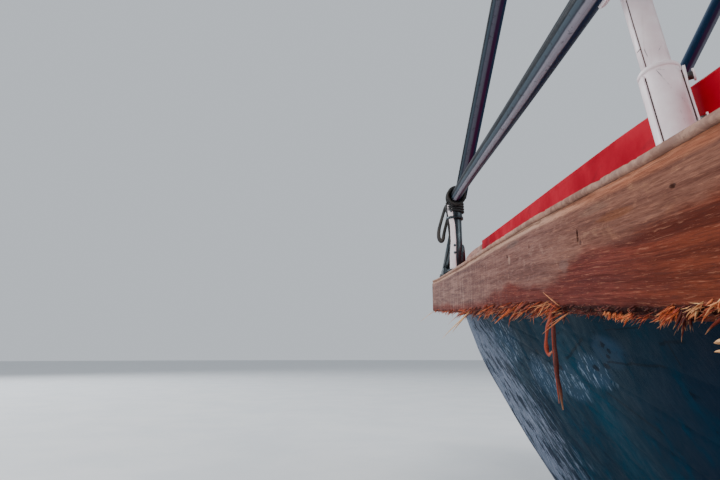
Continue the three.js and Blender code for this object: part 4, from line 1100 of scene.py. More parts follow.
def inner_boards():
    """Floorboards, thwarts and aft deck as single boards with their nails."""
    split_boards("floorboards", 1, (-0.36, -0.215, -0.07, 0.075, 0.22, 0.36), FINISH["long_boards"])
    split_boards("aft_deck", 0, [-4.62 + DECK_BOARD * i for i in range(8)], FINISH["cross_boards"])
    nails = Parts()
    rng = random.Random(31)

    def nail(x, y, z):
        at = (x + rng.uniform(-0.006, 0.006), y, z - 0.002)
        nails.turned(at, (0, 0, 1), [(0, 0.0048), (0.0032, 0.0044), (0.0036, 0.003)], 8)

    def nail_rows(xs, ys):
        for x in xs:
            for y in ys:
                nail(x, y + rng.uniform(-0.01, 0.01), THWART_TOP)

    for k, middle in enumerate(THWARTS):
        split_boards(f"thwart_{k + 1}", 0, [middle + 0.012], FINISH["cross_boards"])
        half = min(Lines(f"thwart_{k + 1}").outer) - 0.035
        nail_rows([middle + x for x in (-0.11, -0.04, 0.05, 0.11)], (half, -half))
    for i in range(9):
        middle = -3.477 - DECK_BOARD * i
        half = Lines("aft_deck").at(middle, "outer") - 0.035
        nail_rows((middle - 0.04, middle + 0.04), (half, 0.0, -half))
    for x in RIBS[1:]:
        reach = Lines("floorboards").at(x, "outer") - 0.02
        for y in (-0.40, -0.32, -0.25, -0.17, -0.10, -0.02, 0.03, 0.11, 0.18, 0.26, 0.33, 0.40):
            if abs(y) < reach:
                nail(x, y, FLOOR_TOP)
    for side in SIDES.values():
        for x in RIBS:
            for up in (0.035, 0.10):
                at = (x + 0.01, side * (COAMING.at(x, "inner") + 0.0012), COAMING.at(x, "high") - up)
                nails.turned(at, (0, -side, 0), [(0, 0.0052), (0.0022, 0.0048), (0.0028, 0.003)], 8)
    nails.piece("nail_heads", BOLT, smooth_shade=False)


class EngineFittings:
    """Small forms on the engine and tail, gathered in the engine's own level frame."""

    def __init__(self):
        self.iron, self.alloy, self.bolts, self.covers, self.white, self.bands = (Parts() for _ in range(6))

    def bolt(self, at, axis, radius, high):
        self.bolts.turned(at, axis, [(-0.002, radius * 1.5), (0.0016, radius * 1.5), (0.0018, radius)], 12)
        self.bolts.turned(at, axis, [(0, radius), (high * 0.85, radius), (high, radius * 0.8)], 6)

    def pieces(self):
        cosine, sine = math.cos(TAIL_DROP), math.sin(TAIL_DROP)
        for parts, name, finish, slot in (
            (self.iron, "engine_brackets", FINISH["engine_iron"], "engine_iron"),
            (self.alloy, "engine_alloy_fittings", FINISH["engine_alloy"], "engine_alloy"),
            (self.bolts, "engine_bolts", BOLT, None),
            (self.covers, "engine_covers", FINISH["cleaner_black"], "cleaner_black"),
            (self.white, "spark_plugs", FINISH["white_pipe"], "white_pipe"),
            (self.bands, "tail_bands", FINISH["rail_steel"], "rail_steel"),
        ):
            for p in parts.points:
                p.x, p.z = TILT_AXLE[0] + p.x * cosine - p.z * sine, TILT_AXLE[1] + p.x * sine + p.z * cosine
            made = parts.piece(name, finish, "tail", smooth_shade=False)


def block_fittings(e, y):
    """Bolts, ribs, core plugs and mounting brackets on one side of the block: y is its sign."""
    for i in range(7):
        e.bolt((0.165 + 0.073 * i, y * 0.115, 0.180), (0, 0, -1), 0.0055, 0.005)
    for i in range(6):
        e.bolt((0.185 + 0.08 * i, y * 0.064, 0.435), (0, 0, 1), 0.0085, 0.008)
    for x in (0.145, 0.305, 0.345, 0.50, 0.54, 0.615):
        if y > 0 or not 0.36 < x < 0.50:
            low, high = sorted((y * 0.120, y * 0.1295))
            e.iron.block((x - 0.004, low, 0.196), (x + 0.004, high, 0.346))
    for x in (0.225, 0.58) if y < 0 else (0.225, 0.425, 0.58):
        rings = [(-0.004, 0.022), (0.003, 0.022), (0.003, 0.018), (-0.001, 0.0165), (-0.001, 0.002)]
        e.alloy.turned((x, y * 0.125, 0.275), (0, y, 0), rings, 20)
    for x in (0.20, 0.56) if y < 0 else (0.42, 0.56):
        low, high = sorted((y * 0.0965, y * 0.1035))
        e.iron.block((x - 0.025, low, 0.034), (x + 0.025, high, 0.182))
        for z in (0.05, 0.13):
            e.bolt((x, y * 0.1035, z), (0, y, 0), 0.0085, 0.009)


def head_fittings(e):
    """Bell bolts, rocker cover, filler cap, a round end cover and four bare spark plugs."""
    for k in range(10):
        turn = 2 * math.pi * k / 10 + 0.2
        e.bolt((0.061, 0.080 * math.cos(turn), 0.170 + 0.080 * math.sin(turn)), (-1, 0, 0), 0.006, 0.006)
    e.alloy.block((0.164, -0.060, 0.431), (0.606, 0.060, 0.4395))
    for x in (0.215, 0.50):
        e.bolt((x, 0, 0.501), (0, 0, 1), 0.009, 0.009)
    cap = [(0, 0.026), (0.012, 0.026), (0.014, 0.022), (0.022, 0.021), (0.025, 0.016)]
    e.alloy.turned((0.56, 0, 0.495), (0, 0, 1), cap, 12)
    cover = [(-0.004, 0.020), (0.02, 0.020), (0.022, 0.030), (0.04, 0.031), (0.052, 0.026)]
    e.covers.turned((0.150, 0.025, 0.395), (-1, 0, 0), cover, 18)
    for x in (0.265, 0.375, 0.485, 0.585):
        for parts, profile, sides in (
            (e.bolts, [(0, 0.011), (0.009, 0.011), (0.011, 0.007)], 6),
            (e.white, [(0.008, 0.0068), (0.018, 0.0068), (0.030, 0.0046)], 14),
            (e.bolts, [(0.028, 0.0026), (0.038, 0.0026), (0.0385, 0.0012)], 10),
        ):
            parts.turned((x, -0.076, 0.418), (0, -0.8, 0.6), profile, sides)


def intake_and_exhaust(e):
    """Exhaust flanges, and the carburettor with its lever."""
    for i in range(4):
        x = 0.21 + 0.11 * i
        e.iron.block((x - 0.026, -0.0845, 0.371), (x + 0.026, -0.077, 0.419))
        for off, z in ((-0.017, 0.377), (0.017, 0.413)):
            e.bolt((x + off, -0.0845, z), (0, -1, 0), 0.005, 0.007)
    e.alloy.block((0.305, 0.080, 0.424), (0.365, 0.138, 0.470))
    throat = [(0, 0.034), (0.006, 0.034), (0.008, 0.026), (0.036, 0.026)]
    e.alloy.turned((0.335, 0.106, 0.468), (0, 0, 1), throat, 18)
    spigot = [(0, 0.012), (0.018, 0.012), (0.020, 0.006), (0.028, 0.006)]
    e.alloy.turned((0.30, 0.109, 0.447), (-1, 0, 0), spigot, 10)
    e.alloy.block((0.325, 0.136, 0.437), (0.345, 0.150, 0.462))
    e.bolts.tube([(0.335, 0.148, 0.45), (0.335, 0.158, 0.452), (0.335, 0.160, 0.478)], 0.004, 8)


def belt_and_cleaner(e):
    """Alternator rings and bracket, the air cleaner's bands and wing nut, and the pulleys' hubs."""
    for x in (0.530, 0.560, 0.590, 0.620):
        ring = [(-0.004, 0.0585), (-0.004, 0.0605), (0.004, 0.0605), (0.004, 0.0585)]
        e.alloy.turned((x, 0.190, 0.300), (1, 0, 0), ring, 24)
    e.iron.block((0.500, 0.118, 0.235), (0.512, 0.186, 0.262))
    for z in (0.5265, 0.585):
        profile = [(-0.003, 0.106), (-0.002, 0.1105), (0.002, 0.1105), (0.003, 0.106)]
        e.covers.turned((0.33, 0, z), (0, 0, 1), profile, 40)
    for y in (-1, 1):
        wing = [(0.33, y * 0.006, 0.603), (0.33, y * 0.020, 0.612), (0.33, y * 0.024, 0.624)]
        e.bolts.tube(wing, [0.005, 0.005, 0.003], 8, 0.4)
    for y, z, radius in ((0, 0.170, 0.075), (0.190, 0.300, 0.035), (0, 0.330, 0.055)):
        hub = [(0, radius * 0.45), (0.006, radius * 0.42), (0.006, 0.012)]
        e.bolts.turned((0.684, y, z), (1, 0, 0), hub, 18)
        e.bolt((0.690, y, z), (1, 0, 0), 0.011, 0.010)


def tail_bands(e):
    """Clamped bands round the tail tube."""
    for x in (-0.36, -1.40, -2.69):
        profile = [(-0.016, 0.0378), (-0.016, 0.0412), (0.016, 0.0412), (0.016, 0.0378)]
        e.bands.turned((x, 0, 0.170), (1, 0, 0), profile, 24)
        e.bands.block((x - 0.016, -0.006, 0.208), (x + 0.016, 0.006, 0.228))
        e.bolt((x, 0.006, 0.219), (0, 1, 0), 0.006, 0.006)


def engine_fittings():
    """Bolts, plugs, brackets and flanges on the engine and tail."""
    e = EngineFittings()
    for y in (-1, 1):
        block_fittings(e, y)
    head_fittings(e)
    intake_and_exhaust(e)
    belt_and_cleaner(e)
    tail_bands(e)
    e.pieces()


def ring_centres(node):
    """Middles of the rings of points that a bent bar's CAD piece is made of, along X."""
    points = sorted(tuple(v.co) for v in NODES[node].data.vertices)
    groups = [[points[0]]]
    for point in points[1:]:
        if point[0] - groups[-1][-1][0] > 0.05:
            groups.append([])
        groups[-1].append(point)
    return [Vector([(min(p[k] for p in g) + max(p[k] for p in g)) / 2 for k in range(3)]) for g in groups]


def round_pipe(parts, path, wide, high, side, sides=28):
    """A pipe whose grain map gives the turn, from 0 outboard through up to 1, and the distance along.

    The map's seam lies between a ring's last point and its first, so the first is doubled there."""
    points, uvs, run = [], [], 0.0
    for i, point in enumerate(path):
        way = heading(path, i).normalized()
        out = Vector((0, side, 0))
        out = (out - way * out.dot(way)).normalized()
        up = way.cross(out).normalized()
        up = up if up.z > 0 else -up
        run += (point - path[max(i - 1, 0)]).length
        ring = [point + out * wide * c + up * high * s for c, s in circle(sides)]
        points += [*ring, ring[0].copy()]
        uvs += [(k / sides, run) for k in range(sides + 1)]
    count = sides + 1
    faces = []
    for r in range(len(path) - 1):
        for a in range(r * count, r * count + sides):
            faces.append([a, a + 1, a + 1 + count, a + count])
    last = (len(path) - 1) * count
    faces += [list(range(sides))[::-1], list(range(last, last + sides))]
    parts.add(points, faces, uvs)


def pipe_rail(kind, side_name, radius, couplings):
    """A smooth pipe in place of a faceted rail, with sleeves at its joints."""
    side = SIDES[side_name]
    path = smoothed(ring_centres(kind + "_" + side_name), 8)
    if kind == "side_rail":
        # It stands a little higher and farther out beside the first post
        path = [p + Vector((0, side, 0.8)) * 0.0018 * smooth(p.x, 3.3, 2.5) for p in path]
    parts = Parts()
    round_pipe(parts, path, radius, radius, side)
    wide = radius + 0.0022
    for x in couplings:
        n = min(range(1, len(path) - 1), key=lambda i: abs(path[i].x - x))
        way = (path[n + 1] - path[n - 1]).normalized()
        for off, r, span in ((-0.033, wide, 0.007), (0.026, wide, 0.007), (-0.026, wide - 0.0008, 0.052)):
            round_pipe(parts, [path[n] + way * off, path[n] + way * (off + span)], r, r, side)
    for end, inward in ((0, 1), (-1, -2)):
        out = (path[end] - path[inward]).normalized()
        profile = ((-0.008, 0.99), (0.0, 0.985), (0.0016, 0.9), (0.0024, 0.5))
        parts.turned(path[end], out, [(off, radius * share) for off, share in profile], 28)
    piece = parts.piece(kind + "_pipe_" + side_name, REFLECTION_BANDED_PIPE, uv=True)
    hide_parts(kind + "_" + side_name)
    return path


def strut_pipe(side_name):
    """The canopy strut, slightly broader than it is deep."""
    side = SIDES[side_name]
    edge = PLANK.at(2.9, "outer") - HEAD_INBOARD
    foot = Vector((4.135, side * 0.362, 1.192))
    head = Vector((2.9, side * 0.430, 2.2064 + 0.150 * (1 - (0.430 / edge) ** 2)))
    way = (head - foot).normalized()
    path = [foot + (head - foot) * t for t in np.linspace(0, 1, 12)]
    path[0], path[-1] = foot + way * 0.022, head - way * 0.017
    parts = Parts()
    round_pipe(parts, path, STRUT_WIDE, STRUT_DEEP, side)
    piece = parts.piece("strut_pipe_" + side_name, REFLECTION_BANDED_STRUT, uv=True)
    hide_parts("canopy_strut_" + side_name)


# Bow post fittings, metres. Places across are to the left as the photo sees the post
BOW_POST_X, BOW_POST_INBOARD = 4.15, 0.045
SIDE_RAIL_RADIUS = 0.0218
STRAP_LOOP = [
    (0.024, 0.300), (0.038, 0.288), (0.049, 0.258), (0.060, 0.222), (0.0690, 0.190), (0.0720, 0.160),
    (0.0680, 0.142), (0.0600, 0.136), (0.0530, 0.146), (0.0490, 0.168), (0.0410, 0.200), (0.0330, 0.228),
    (0.0250, 0.246), (0.018, 0.262),
]
EDGE_STRAP = [(0.0335, 0.300), (0.0315, 0.245), (0.0280, 0.190), (0.0250, 0.145), (0.0245, 0.116)]
# The flat bar. Columns: height, sideways shift, half width, distance from the post's middle
BOW_BAR = [
    (0.004, 0.001, 0.0155, 0.0272),
    (0.060, 0.001, 0.0140, 0.0272),
    (0.130, -0.004, 0.0118, 0.0272),
    (0.200, -0.002, 0.0115, 0.0275),
    (0.232, 0.002, 0.0112, 0.0315),
    (0.262, 0.004, 0.0112, 0.0325),
    (0.288, 0.005, 0.0112, 0.0325),
]
# Fairing ahead of the coaming. Columns: x, height over the deck
FAIRING = [
    (4.213, 0.134), (4.30, 0.134), (4.42, 0.134), (4.54, 0.132), (4.64, 0.125), (4.70, 0.117),
    (4.80, 0.060), (4.86, 0.010),
]


class BowPost:
    """Foot of a bow post and the directions of its fittings, left and nearer as the photo sees it."""

    def __init__(self, side_name):
        self.name, self.side = side_name, SIDES[side_name]
        inset = PLANK.at(BOW_POST_X, "outer") - BOW_POST_INBOARD
        self.foot = Vector((BOW_POST_X, self.side * inset, DECK.at(BOW_POST_X, "high")))
        self.left = Vector((0.307, self.side * 0.951, 0))
        self.nearer = Vector((-0.951, self.side * 0.307, 0))
        self.out = Vector((-0.708, self.side * 0.705, 0))
        self.tangent = Vector((0.705, self.side * 0.708, 0))

    def up(self, height):
        return self.foot + UP * height


def bow_bar(post):
    """The flat bar that is bolted to the post."""
    bar, rings = Parts(), []
    for z, shift, half, off in BOW_BAR:
        outline = ((-half, 0), (half, 0), (half, 0.7), (half - 0.001, 1), (-half + 0.001, 1), (-half, 0.7))
        middle = post.up(z)
        rings.append([middle + post.tangent * (a + shift) + post.out * (off + c * 0.005) for a, c in outline])
    bar.rings(rings)
    piece = bar.piece("bow_bar_" + post.name, FINISH["white_pipe"])
    bevelled(piece, 0.0008)


def bow_irons(post):
    """The bar's bolts and clamp, the gusset, the second brace with its pad, and a bolt in the deck."""
    dark = Parts()
    head = [(0.0, 0.0058), (0.0026, 0.0058), (0.0036, 0.0046), (0.0040, 0.0020)]
    for z, across, off in ((0.110, -0.0110, 0.0322), (0.079, -0.0108, 0.0322), (0.258, -0.0020, 0.0368)):
        dark.turned(post.up(z) + post.tangent * across + post.out * off, post.out, head, 6)
    clamp_ring = [(-0.005, 0.0325), (-0.005, 0.0365), (0.005, 0.0365), (0.005, 0.0325)]
    dark.turned(post.up(0.231) + post.out * 0.004, UP, clamp_ring, 28)
    gusset = [(0.0005, 0.0172), (0.060, 0.0172), (0.105, 0.0150), (0.116, 0.0115), (0.119, 0.0060)]
    dark.turned(post.foot - post.left * 0.0205, UP, gusset, 24)
    low = Vector((4.440, post.side * 0.349, DECK.at(4.44, "high") + 0.026))
    high = post.foot + post.left * 0.018 + UP * 0.172
    dark.tube([low, low.lerp(high, 0.5), high], 0.0095, 16)
    pad = []
    for x, tall in ((4.372, 0.036), (4.400, 0.035), (4.490, 0.024), (4.500, 0.006)):
        y, base = post.side * (PLANK.at(x, "outer") - 0.008), DECK.at(x, "high") + 0.0003
        outline = ((0, 0), (0.046, 0), (0.046, tall), (0, tall))
        pad.append([Vector((x, y - post.side * a, base + c)) for a, c in outline])
    dark.rings(pad)
    bolt_x = 4.505
    bolt = (bolt_x, post.side * (PLANK.at(bolt_x, "outer") - 0.014), DECK.at(bolt_x, "high"))
    profile = [(0.0, 0.015), (0.002, 0.015), (0.0025, 0.011), (0.012, 0.011), (0.014, 0.004)]
    dark.turned(bolt, UP, profile, 12)
    dark.piece("bow_bolts_" + post.name, FINISH["rail_steel"])


def bow_straps(post):
    """A strap that hangs in a loop, one along the bar's edge, and the lashing round the rail's end."""
    black = Parts()
    loop = smoothed([post.foot + post.left * a + UP * z for a, z in STRAP_LOOP], 4)
    last = len(loop) - 1
    black.tube(loop, [0.0070 + 0.0020 * math.sin(3.14 * i / last) ** 3 for i in range(last + 1)], 14, 0.75)
    edge = smoothed([post.foot + post.left * a + post.nearer * 0.018 + UP * z for a, z in EDGE_STRAP], 4)
    last = len(edge) - 1
    black.tube(edge, [0.0046 * (1 - 0.35 * i / last) for i in range(last + 1)], 12)
    rail = smoothed(ring_centres("side_rail_" + post.name), 8)
    rail = rail if rail[0].x > rail[-1].x else rail[::-1]
    rng = random.Random(17)
    round_once = [*circle(28), (math.cos(2 * math.pi), math.sin(2 * math.pi))]
    start, way = rail[0], (rail[1] - rail[0]).normalized()
    for k in range(9):
        at = start + way * (0.004 + 0.0105 * k)
        tilt = (way + any_way(rng, 0.16)).normalized()
        across = tilt.orthogonal().normalized()
        above = tilt.cross(across)
        size = 0.0285 + 0.0035 * (k % 3)
        black.tube([at + (across * c + above * s) * size for c, s in round_once], 0.0062, 10, 0.7)
    for k in range(4):
        at = post.up(0.262 + 0.0095 * k)
        lean = rng.uniform(-0.12, 0.12)
        ring = [at + post.left * c * 0.0355 + post.nearer * s * 0.0355 for c, s in round_once]
        black.tube([p + UP * lean * (p - at).dot(post.left) for p in ring], 0.0055, 10, 0.8)
    black.piece("bow_strap_" + post.name, STRAP)


def bow_fairing(post):
    """The small wooden fairing ahead of the coaming."""
    fairing, rings = Parts(), []
    for x, high in FAIRING:
        outer, base = DECK.at(x, "inner") - 0.0005, DECK.at(x, "high") + 0.0003
        top = high - 0.003
        outline = ((0, 0), (0.018, 0), (0.018, top), (0.015, high), (0.003, high), (0, top))
        rings.append([Vector((x, post.side * (outer - a), base + c)) for a, c in outline])
    fairing.rings(rings)
    piece = fairing.piece("coaming_fairing_" + post.name, FINISH["fairing_wood"], smooth_shade=False)


def bow_fittings(side_name):
    post = BowPost(side_name)
    for make in (bow_bar, bow_irons, bow_straps, bow_fairing):
        make(post)


# Canopy posts. Columns: x at the foot, x at the head
POSTS = [(2.544, 2.764), (0.8, 0.8), (-0.95, -0.95), (-2.7, -2.7)]
POST_INBOARD, HEAD_INBOARD, POST_TOP = 0.140, 0.041, 2.170
TUBE_RADIUS, SLEEVE_RADIUS, SLEEVE_HIGH = 0.0180, 0.0243, 0.157


class PostLine:
    """A canopy post: its foot, its length, its direction, and two directions across it."""

    def __init__(self, foot_x, head_x, side):
        base = max(DECK.at(foot_x - 0.05, "high"), DECK.at(foot_x + 0.05, "high"))
        self.side = side
        self.foot = Vector((foot_x, side * (PLANK.at(foot_x, "outer") - POST_INBOARD), base + 0.0053))
        head = Vector((head_x, side * (PLANK.at(head_x, "outer") - HEAD_INBOARD), POST_TOP))
        self.along, self.full = (head - self.foot).normalized(), (head - self.foot).length
        right = Vector((-0.644, -side * 0.765, 0))
        self.right = (right - self.along * right.dot(self.along)).normalized()
        self.ahead = self.along.cross(self.right) * side  # away from the photo's camera

    def wrap(self, parts, radius, thick, start, end, low, high, widen=0.0):
        """A strip of a cylinder's surface between two angles, counted from the flange."""
        rings = []
        for height in np.linspace(low, high, 10):
            spread = widen * (1 - (height - low) / (high - low)) ** 2
            outer, inner = [], []
            for turn in np.linspace(start - spread, end + spread, 8):
                way = self.right * math.cos(turn) - self.ahead * math.sin(turn)
                outer.append(self.foot + self.along * height + way * (radius + thick))
                inner.append(self.foot + self.along * height + way * (radius - 0.0004))
            rings.append(outer + inner[::-1])
        parts.rings(rings)


def foot_plate(parts, foot, side):
    """Plate under a post, with cut corners and an eased upper edge."""
    corners = ((-0.050, -0.018), (0.050, -0.018), (0.050, 0.042), (-0.050, 0.042))
    ring = []
    for (x0, y0), (x1, y1) in zip(corners, corners[1:] + corners[:1]):
        for t in (0.08, 0.92) if abs(x1 - x0) > abs(y1 - y0) else (0.13, 0.87):
            ring.append((x0 + (x1 - x0) * t, y0 + (y1 - y0) * t))
    plate, base = [], foot.z - 0.005
    for z, grow in ((0.0, 1.0), (0.0066, 1.0), (0.008, 0.975)):
        plate.append([Vector((foot.x + x * grow, foot.y + side * y * grow, base + z)) for x, y in ring])
    parts.rings(plate if side > 0 else [r[::-1] for r in plate])


def rail_saddle(parts, foot, way, rail):
    """Arm and saddle that hold the side rail beside a post."""
    xs = [p.x for p in rail]

    def rail_at(x):
        return Vector([np.interp(x, xs, [p[k] for p in rail]) for k in range(3)])

    lug = foot + way * ((rail_at(foot.x).z - foot.z) / way.z)
    seat = rail_at(lug.x)
    along, arm = (rail_at(lug.x + 0.02) - seat).normalized(), seat - lug
    start = lug + arm * (TUBE_RADIUS / arm.length * 0.9)
    end = seat - arm * ((SIDE_RAIL_RADIUS + 0.0005) / arm.length)
    parts.tube([start, start.lerp(end, 0.5), end], 0.0105, 16)
    inward = (lug - seat).normalized()
    above = along.cross(inward)
    around = [inward * math.cos(t) + above * math.sin(t) for t in np.linspace(-1.1, 1.1, 12)]
    saddle = []
    for off, wide in ((-0.016, 0.0265), (-0.014, 0.0275), (0.014, 0.0275), (0.016, 0.0265)):
        middle = seat + along * off
        outer = [middle + ray * wide for ray in around]
        saddle.append(outer + [middle + ray * (SIDE_RAIL_RADIUS + 0.0002) for ray in around[::-1]])
    parts.rings(saddle)


def canopy_posts(side_name, rail):
    """Smooth tubes, sleeves, foot plates and rail saddles in place of the faceted posts."""
    side = SIDES[side_name]
    rail = sorted(rail, key=lambda p: p.x)
    tube, sleeve = TUBE_RADIUS, SLEEVE_RADIUS
    top = [(-0.004, sleeve), (SLEEVE_HIGH - 0.002, sleeve), (SLEEVE_HIGH, sleeve - 0.001)]
    top.append((SLEEVE_HIGH + 0.001, tube))
    weld = [(0.0028, sleeve + 0.006), (0.0050, sleeve + 0.005), (0.009, sleeve + 0.001)]
    weld.append((0.010, sleeve - 0.001))
    for n, (foot_x, head_x) in enumerate(POSTS):
        post = PostLine(foot_x, head_x, side)
        parts = Parts()
        shaft = [(0.0, tube), (post.full * 0.5, tube), (post.full - 0.016, tube)]
        parts.turned(post.foot, post.along, shaft, 36)
        parts.turned(post.foot, post.along, top, 36)
        foot_plate(parts, post.foot, side)
        parts.turned(post.foot, post.along, weld, 36)
        rail_saddle(parts, post.foot, post.along, rail)
        piece = parts.piece(f"post_{n + 1}_{side_name}", FINISH["white_pipe"])
        bevelled(piece, 0.0006, 1, 50)
        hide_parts(f"canopy_post_{n + 1}_{side_name}")


def sleeve_seams(post, pale, dark):
    """Rolled sleeve top, and the lapped seams of sleeve and tube with dark lines along their edges."""
    rim = SLEEVE_RADIUS + 0.0016
    profile = [(-0.004, SLEEVE_RADIUS - 0.001), (-0.003, rim), (0.001, rim), (0.004, rim - 0.0022)]
    profile.append((0.0055, TUBE_RADIUS + 0.0004))
    pale.turned(post.foot + post.along * SLEEVE_HIGH, post.along, profile, 32)
    post.wrap(pale, SLEEVE_RADIUS, 0.0014, 2.34, 3.05, 0.004, SLEEVE_HIGH - 0.006)
    post.wrap(dark, SLEEVE_RADIUS, 0.0006, 2.29, 2.345, 0.006, SLEEVE_HIGH - 0.010, 0.035)
    post.wrap(pale, TUBE_RADIUS, 0.0010, 2.32, 2.95, SLEEVE_HIGH, SLEEVE_HIGH + 0.42)
    post.wrap(dark, TUBE_RADIUS, 0.0005, 2.27, 2.325, SLEEVE_HIGH + 0.006, SLEEVE_HIGH + 0.12, 0.02)
    post.wrap(dark, TUBE_RADIUS, 0.0013, 2.28, 2.66, SLEEVE_HIGH + 0.0362, SLEEVE_HIGH + 0.0372)


def sleeve_flange(post, pale, dark, bolts):
    """Flange along the sleeve, held off it by its bolts, with a thin dark strip of painted shade beside it on
    the sleeve.
    """
    middle = post.foot + post.right * (SLEEVE_RADIUS + 0.0012)
    rings = []
    for height in np.linspace(0.010, 0.150, 12):
        swell = 0.0022 * math.exp(-(((height - 0.146) / 0.010) ** 2))
        outline = ((-0.013, 0), (0.013, 0), (0.013, 0.0018 + swell), (-0.013, 0.0018 + swell))
        rings.append([middle + post.along * height + post.ahead * a + post.right * b for a, b in outline])
    pale.rings(rings)
    # Painted shade: a thin dark strip on the sleeve beside the flange
    post.wrap(dark, SLEEVE_RADIUS, 0.0010, 0.02, 0.16, 0.014, 0.150)
    washer = [(0.0, 0.0040), (0.0, 0.0082), (0.0022, 0.0082), (0.0022, 0.004)]
    for height in (0.140, 0.075):
        at = middle + post.along * height + post.right * 0.0028
        bolts.turned(at, post.right, [(-0.008, 0.0055), (0.008, 0.0055), (0.0085, 0.003)], 12)
        pale.turned(at + post.right * 0.0070, post.right, washer, 16)


def post_fittings(side_name):
    """Rolled sleeve tops, lapped seams, bolted flanges and screws on the canopy posts."""
    side = SIDES[side_name]
    pale, dark, bolts = Parts(), Parts(), Parts()
    screw = [(-0.002, 0.0070), (0.0, 0.0068), (0.0022, 0.0050), (0.0028, 0.002)]
    for foot_x, head_x in POSTS:
        post = PostLine(foot_x, head_x, side)
        sleeve_seams(post, pale, dark)
        sleeve_flange(post, pale, dark, bolts)
        for x in (-0.038, 0.038):
            bolts.turned(post.foot + Vector((x, side * 0.034, 0.0030)), UP, screw, 10)
    pale.piece("post_sleeves_" + side_name, FINISH["white_pipe"])
    bolts.piece("post_bolts_" + side_name, BOLT)
    dark.piece("post_seams_and_shade_" + side_name, GRIME_AND_PAINTED_SHADE)


def shred(parts, start, way, length, width, rng, own, curl, sag, thin=0.3):
    """One torn fibre: a flat ribbon that tapers and bends. own is its tone, from dark 0 to pale 1."""
    steps = 6 if length < 0.04 else 10
    point, way = Vector(start), Vector(way).normalized()
    turn = any_way(rng) * curl
    face = way.cross(any_way(rng)).normalized()
    rings, uvs = [], []
    for i in range(steps + 1):
        t = i / steps
        side = way.cross(face).normalized()
        face = side.cross(way).normalized()
        half = width / 2 * (0.75 + 0.45 * math.sin(t * 2.6)) * (1 - t**2.2) + width * 0.05
        corners = ((1, 0.25), (0.15, 1), (-1, 0.3), (-0.1, -0.8))
        rings.append([point + side * half * a + face * half * thin * b for a, b in corners])
        uvs += [(own, t)] * 4
        way = (way + turn / steps + Vector((0, 0, -sag / steps))).normalized()
        point = point + way * (length / steps)
        if rng.random() < 0.35:
            turn = any_way(rng) * curl
    parts.rings(rings, True, uvs)


# Torn bundles along the port plank. Columns: x from, x to, fibres, length, width, hang, height of
# their roots above the edge, how far they stand out, darkest and palest tone
BUNDLES = [
    (4.87, 4.20, 60, 0.030, 0.0036, 0.05, 0.008, 0.20, 0.10, 0.75),
    (4.20, 3.70, 50, 0.040, 0.0036, 0.10, 0.010, 0.25, 0.10, 0.75),
    (3.70, 3.20, 90, 0.050, 0.0034, 0.16, 0.012, 0.35, 0.00, 0.80),
    (3.24, 2.95, 110, 0.042, 0.0030, 0.20, 0.016, 0.45, 0.00, 0.75),
    (3.00, 2.74, 130, 0.036, 0.0026, 0.16, 0.015, 0.45, 0.05, 0.80),
    (2.98, 2.78, 10, 0.060, 0.0046, 0.14, 0.012, 0.45, 0.40, 0.80),
    (2.74, 2.66, 60, 0.030, 0.0018, 0.36, 0.014, 0.55, 0.25, 0.95),
    (2.66, 2.30, 170, 0.012, 0.0018, 0.10, 0.012, 0.08, 0.00, 0.25),
    (2.66, 2.30, 50, 0.013, 0.0012, 0.30, 0.006, 0.15, 0.10, 0.50),
    (2.31, 1.60, 190, 0.026, 0.0030, 0.40, 0.010, 0.35, 0.10, 0.90),
    (1.60, -0.80, 260, 0.034, 0.0040, 0.40, 0.010, 0.35, 0.10, 0.85),
    (-0.80, -4.80, 330, 0.038, 0.0044, 0.40, 0.010, 0.35, 0.10, 0.80),
]
# Chunky tufts where the photo is near. Columns: x, height above the edge, direction, fibres, length,
# breadth of the tuft, darkest and palest tone
TUFTS = [
    (2.513, 0.005, (0.5, 0.3, -0.9), 12, 0.006, 0.004, 0.70, 0.95),
    (2.504, 0.004, (0.5, 0.3, -0.9), 10, 0.006, 0.004, 0.60, 0.90),
    (2.490, 0.004, (0.7, 0.3, -0.8), 12, 0.008, 0.004, 0.65, 0.90),
    (2.474, 0.004, (0.8, 0.3, -0.7), 18, 0.010, 0.005, 0.45, 0.85),
    (2.462, 0.003, (0.8, 0.3, -0.6), 18, 0.011, 0.005, 0.50, 0.90),
    (2.452, 0.004, (0.9, 0.3, -0.5), 12, 0.010, 0.004, 0.40, 0.80),
    (2.424, 0.004, (1.0, 0.2, -0.3), 10, 0.012, 0.003, 0.10, 0.75),
    (2.376, 0.011, (0.9, 0.4, -0.7), 30, 0.020, 0.006, 0.45, 0.80),
    (2.384, 0.008, (0.9, 0.4, -0.6), 24, 0.019, 0.005, 0.50, 0.90),
    (2.370, 0.010, (0.8, 0.4, -0.8), 16, 0.016, 0.004, 0.40, 0.75),
    (2.364, 0.008, (0.2, 0.2, -1.0), 16, 0.021, 0.003, 0.00, 0.20),
    (2.358, 0.010, (0.1, 0.2, -1.0), 12, 0.017, 0.003, 0.05, 0.25),
    (2.345, 0.012, (0.9, 0.3, -0.7), 12, 0.018, 0.003, 0.80, 1.00),
    (2.338, 0.013, (0.9, 0.3, -0.5), 12, 0.013, 0.004, 0.75, 1.00),
    (2.330, 0.009, (1.0, 0.3, -0.5), 12, 0.013, 0.003, 0.35, 0.90),
    (2.322, 0.013, (1.0, 0.2, -0.4), 16, 0.012, 0.004, 0.40, 0.90),
    (2.314, 0.017, (0.6, 0.3, -0.9), 16, 0.012, 0.004, 0.60, 1.00),
    (2.304, 0.010, (0.9, 0.3, -0.6), 16, 0.014, 0.004, 0.35, 0.85),
]


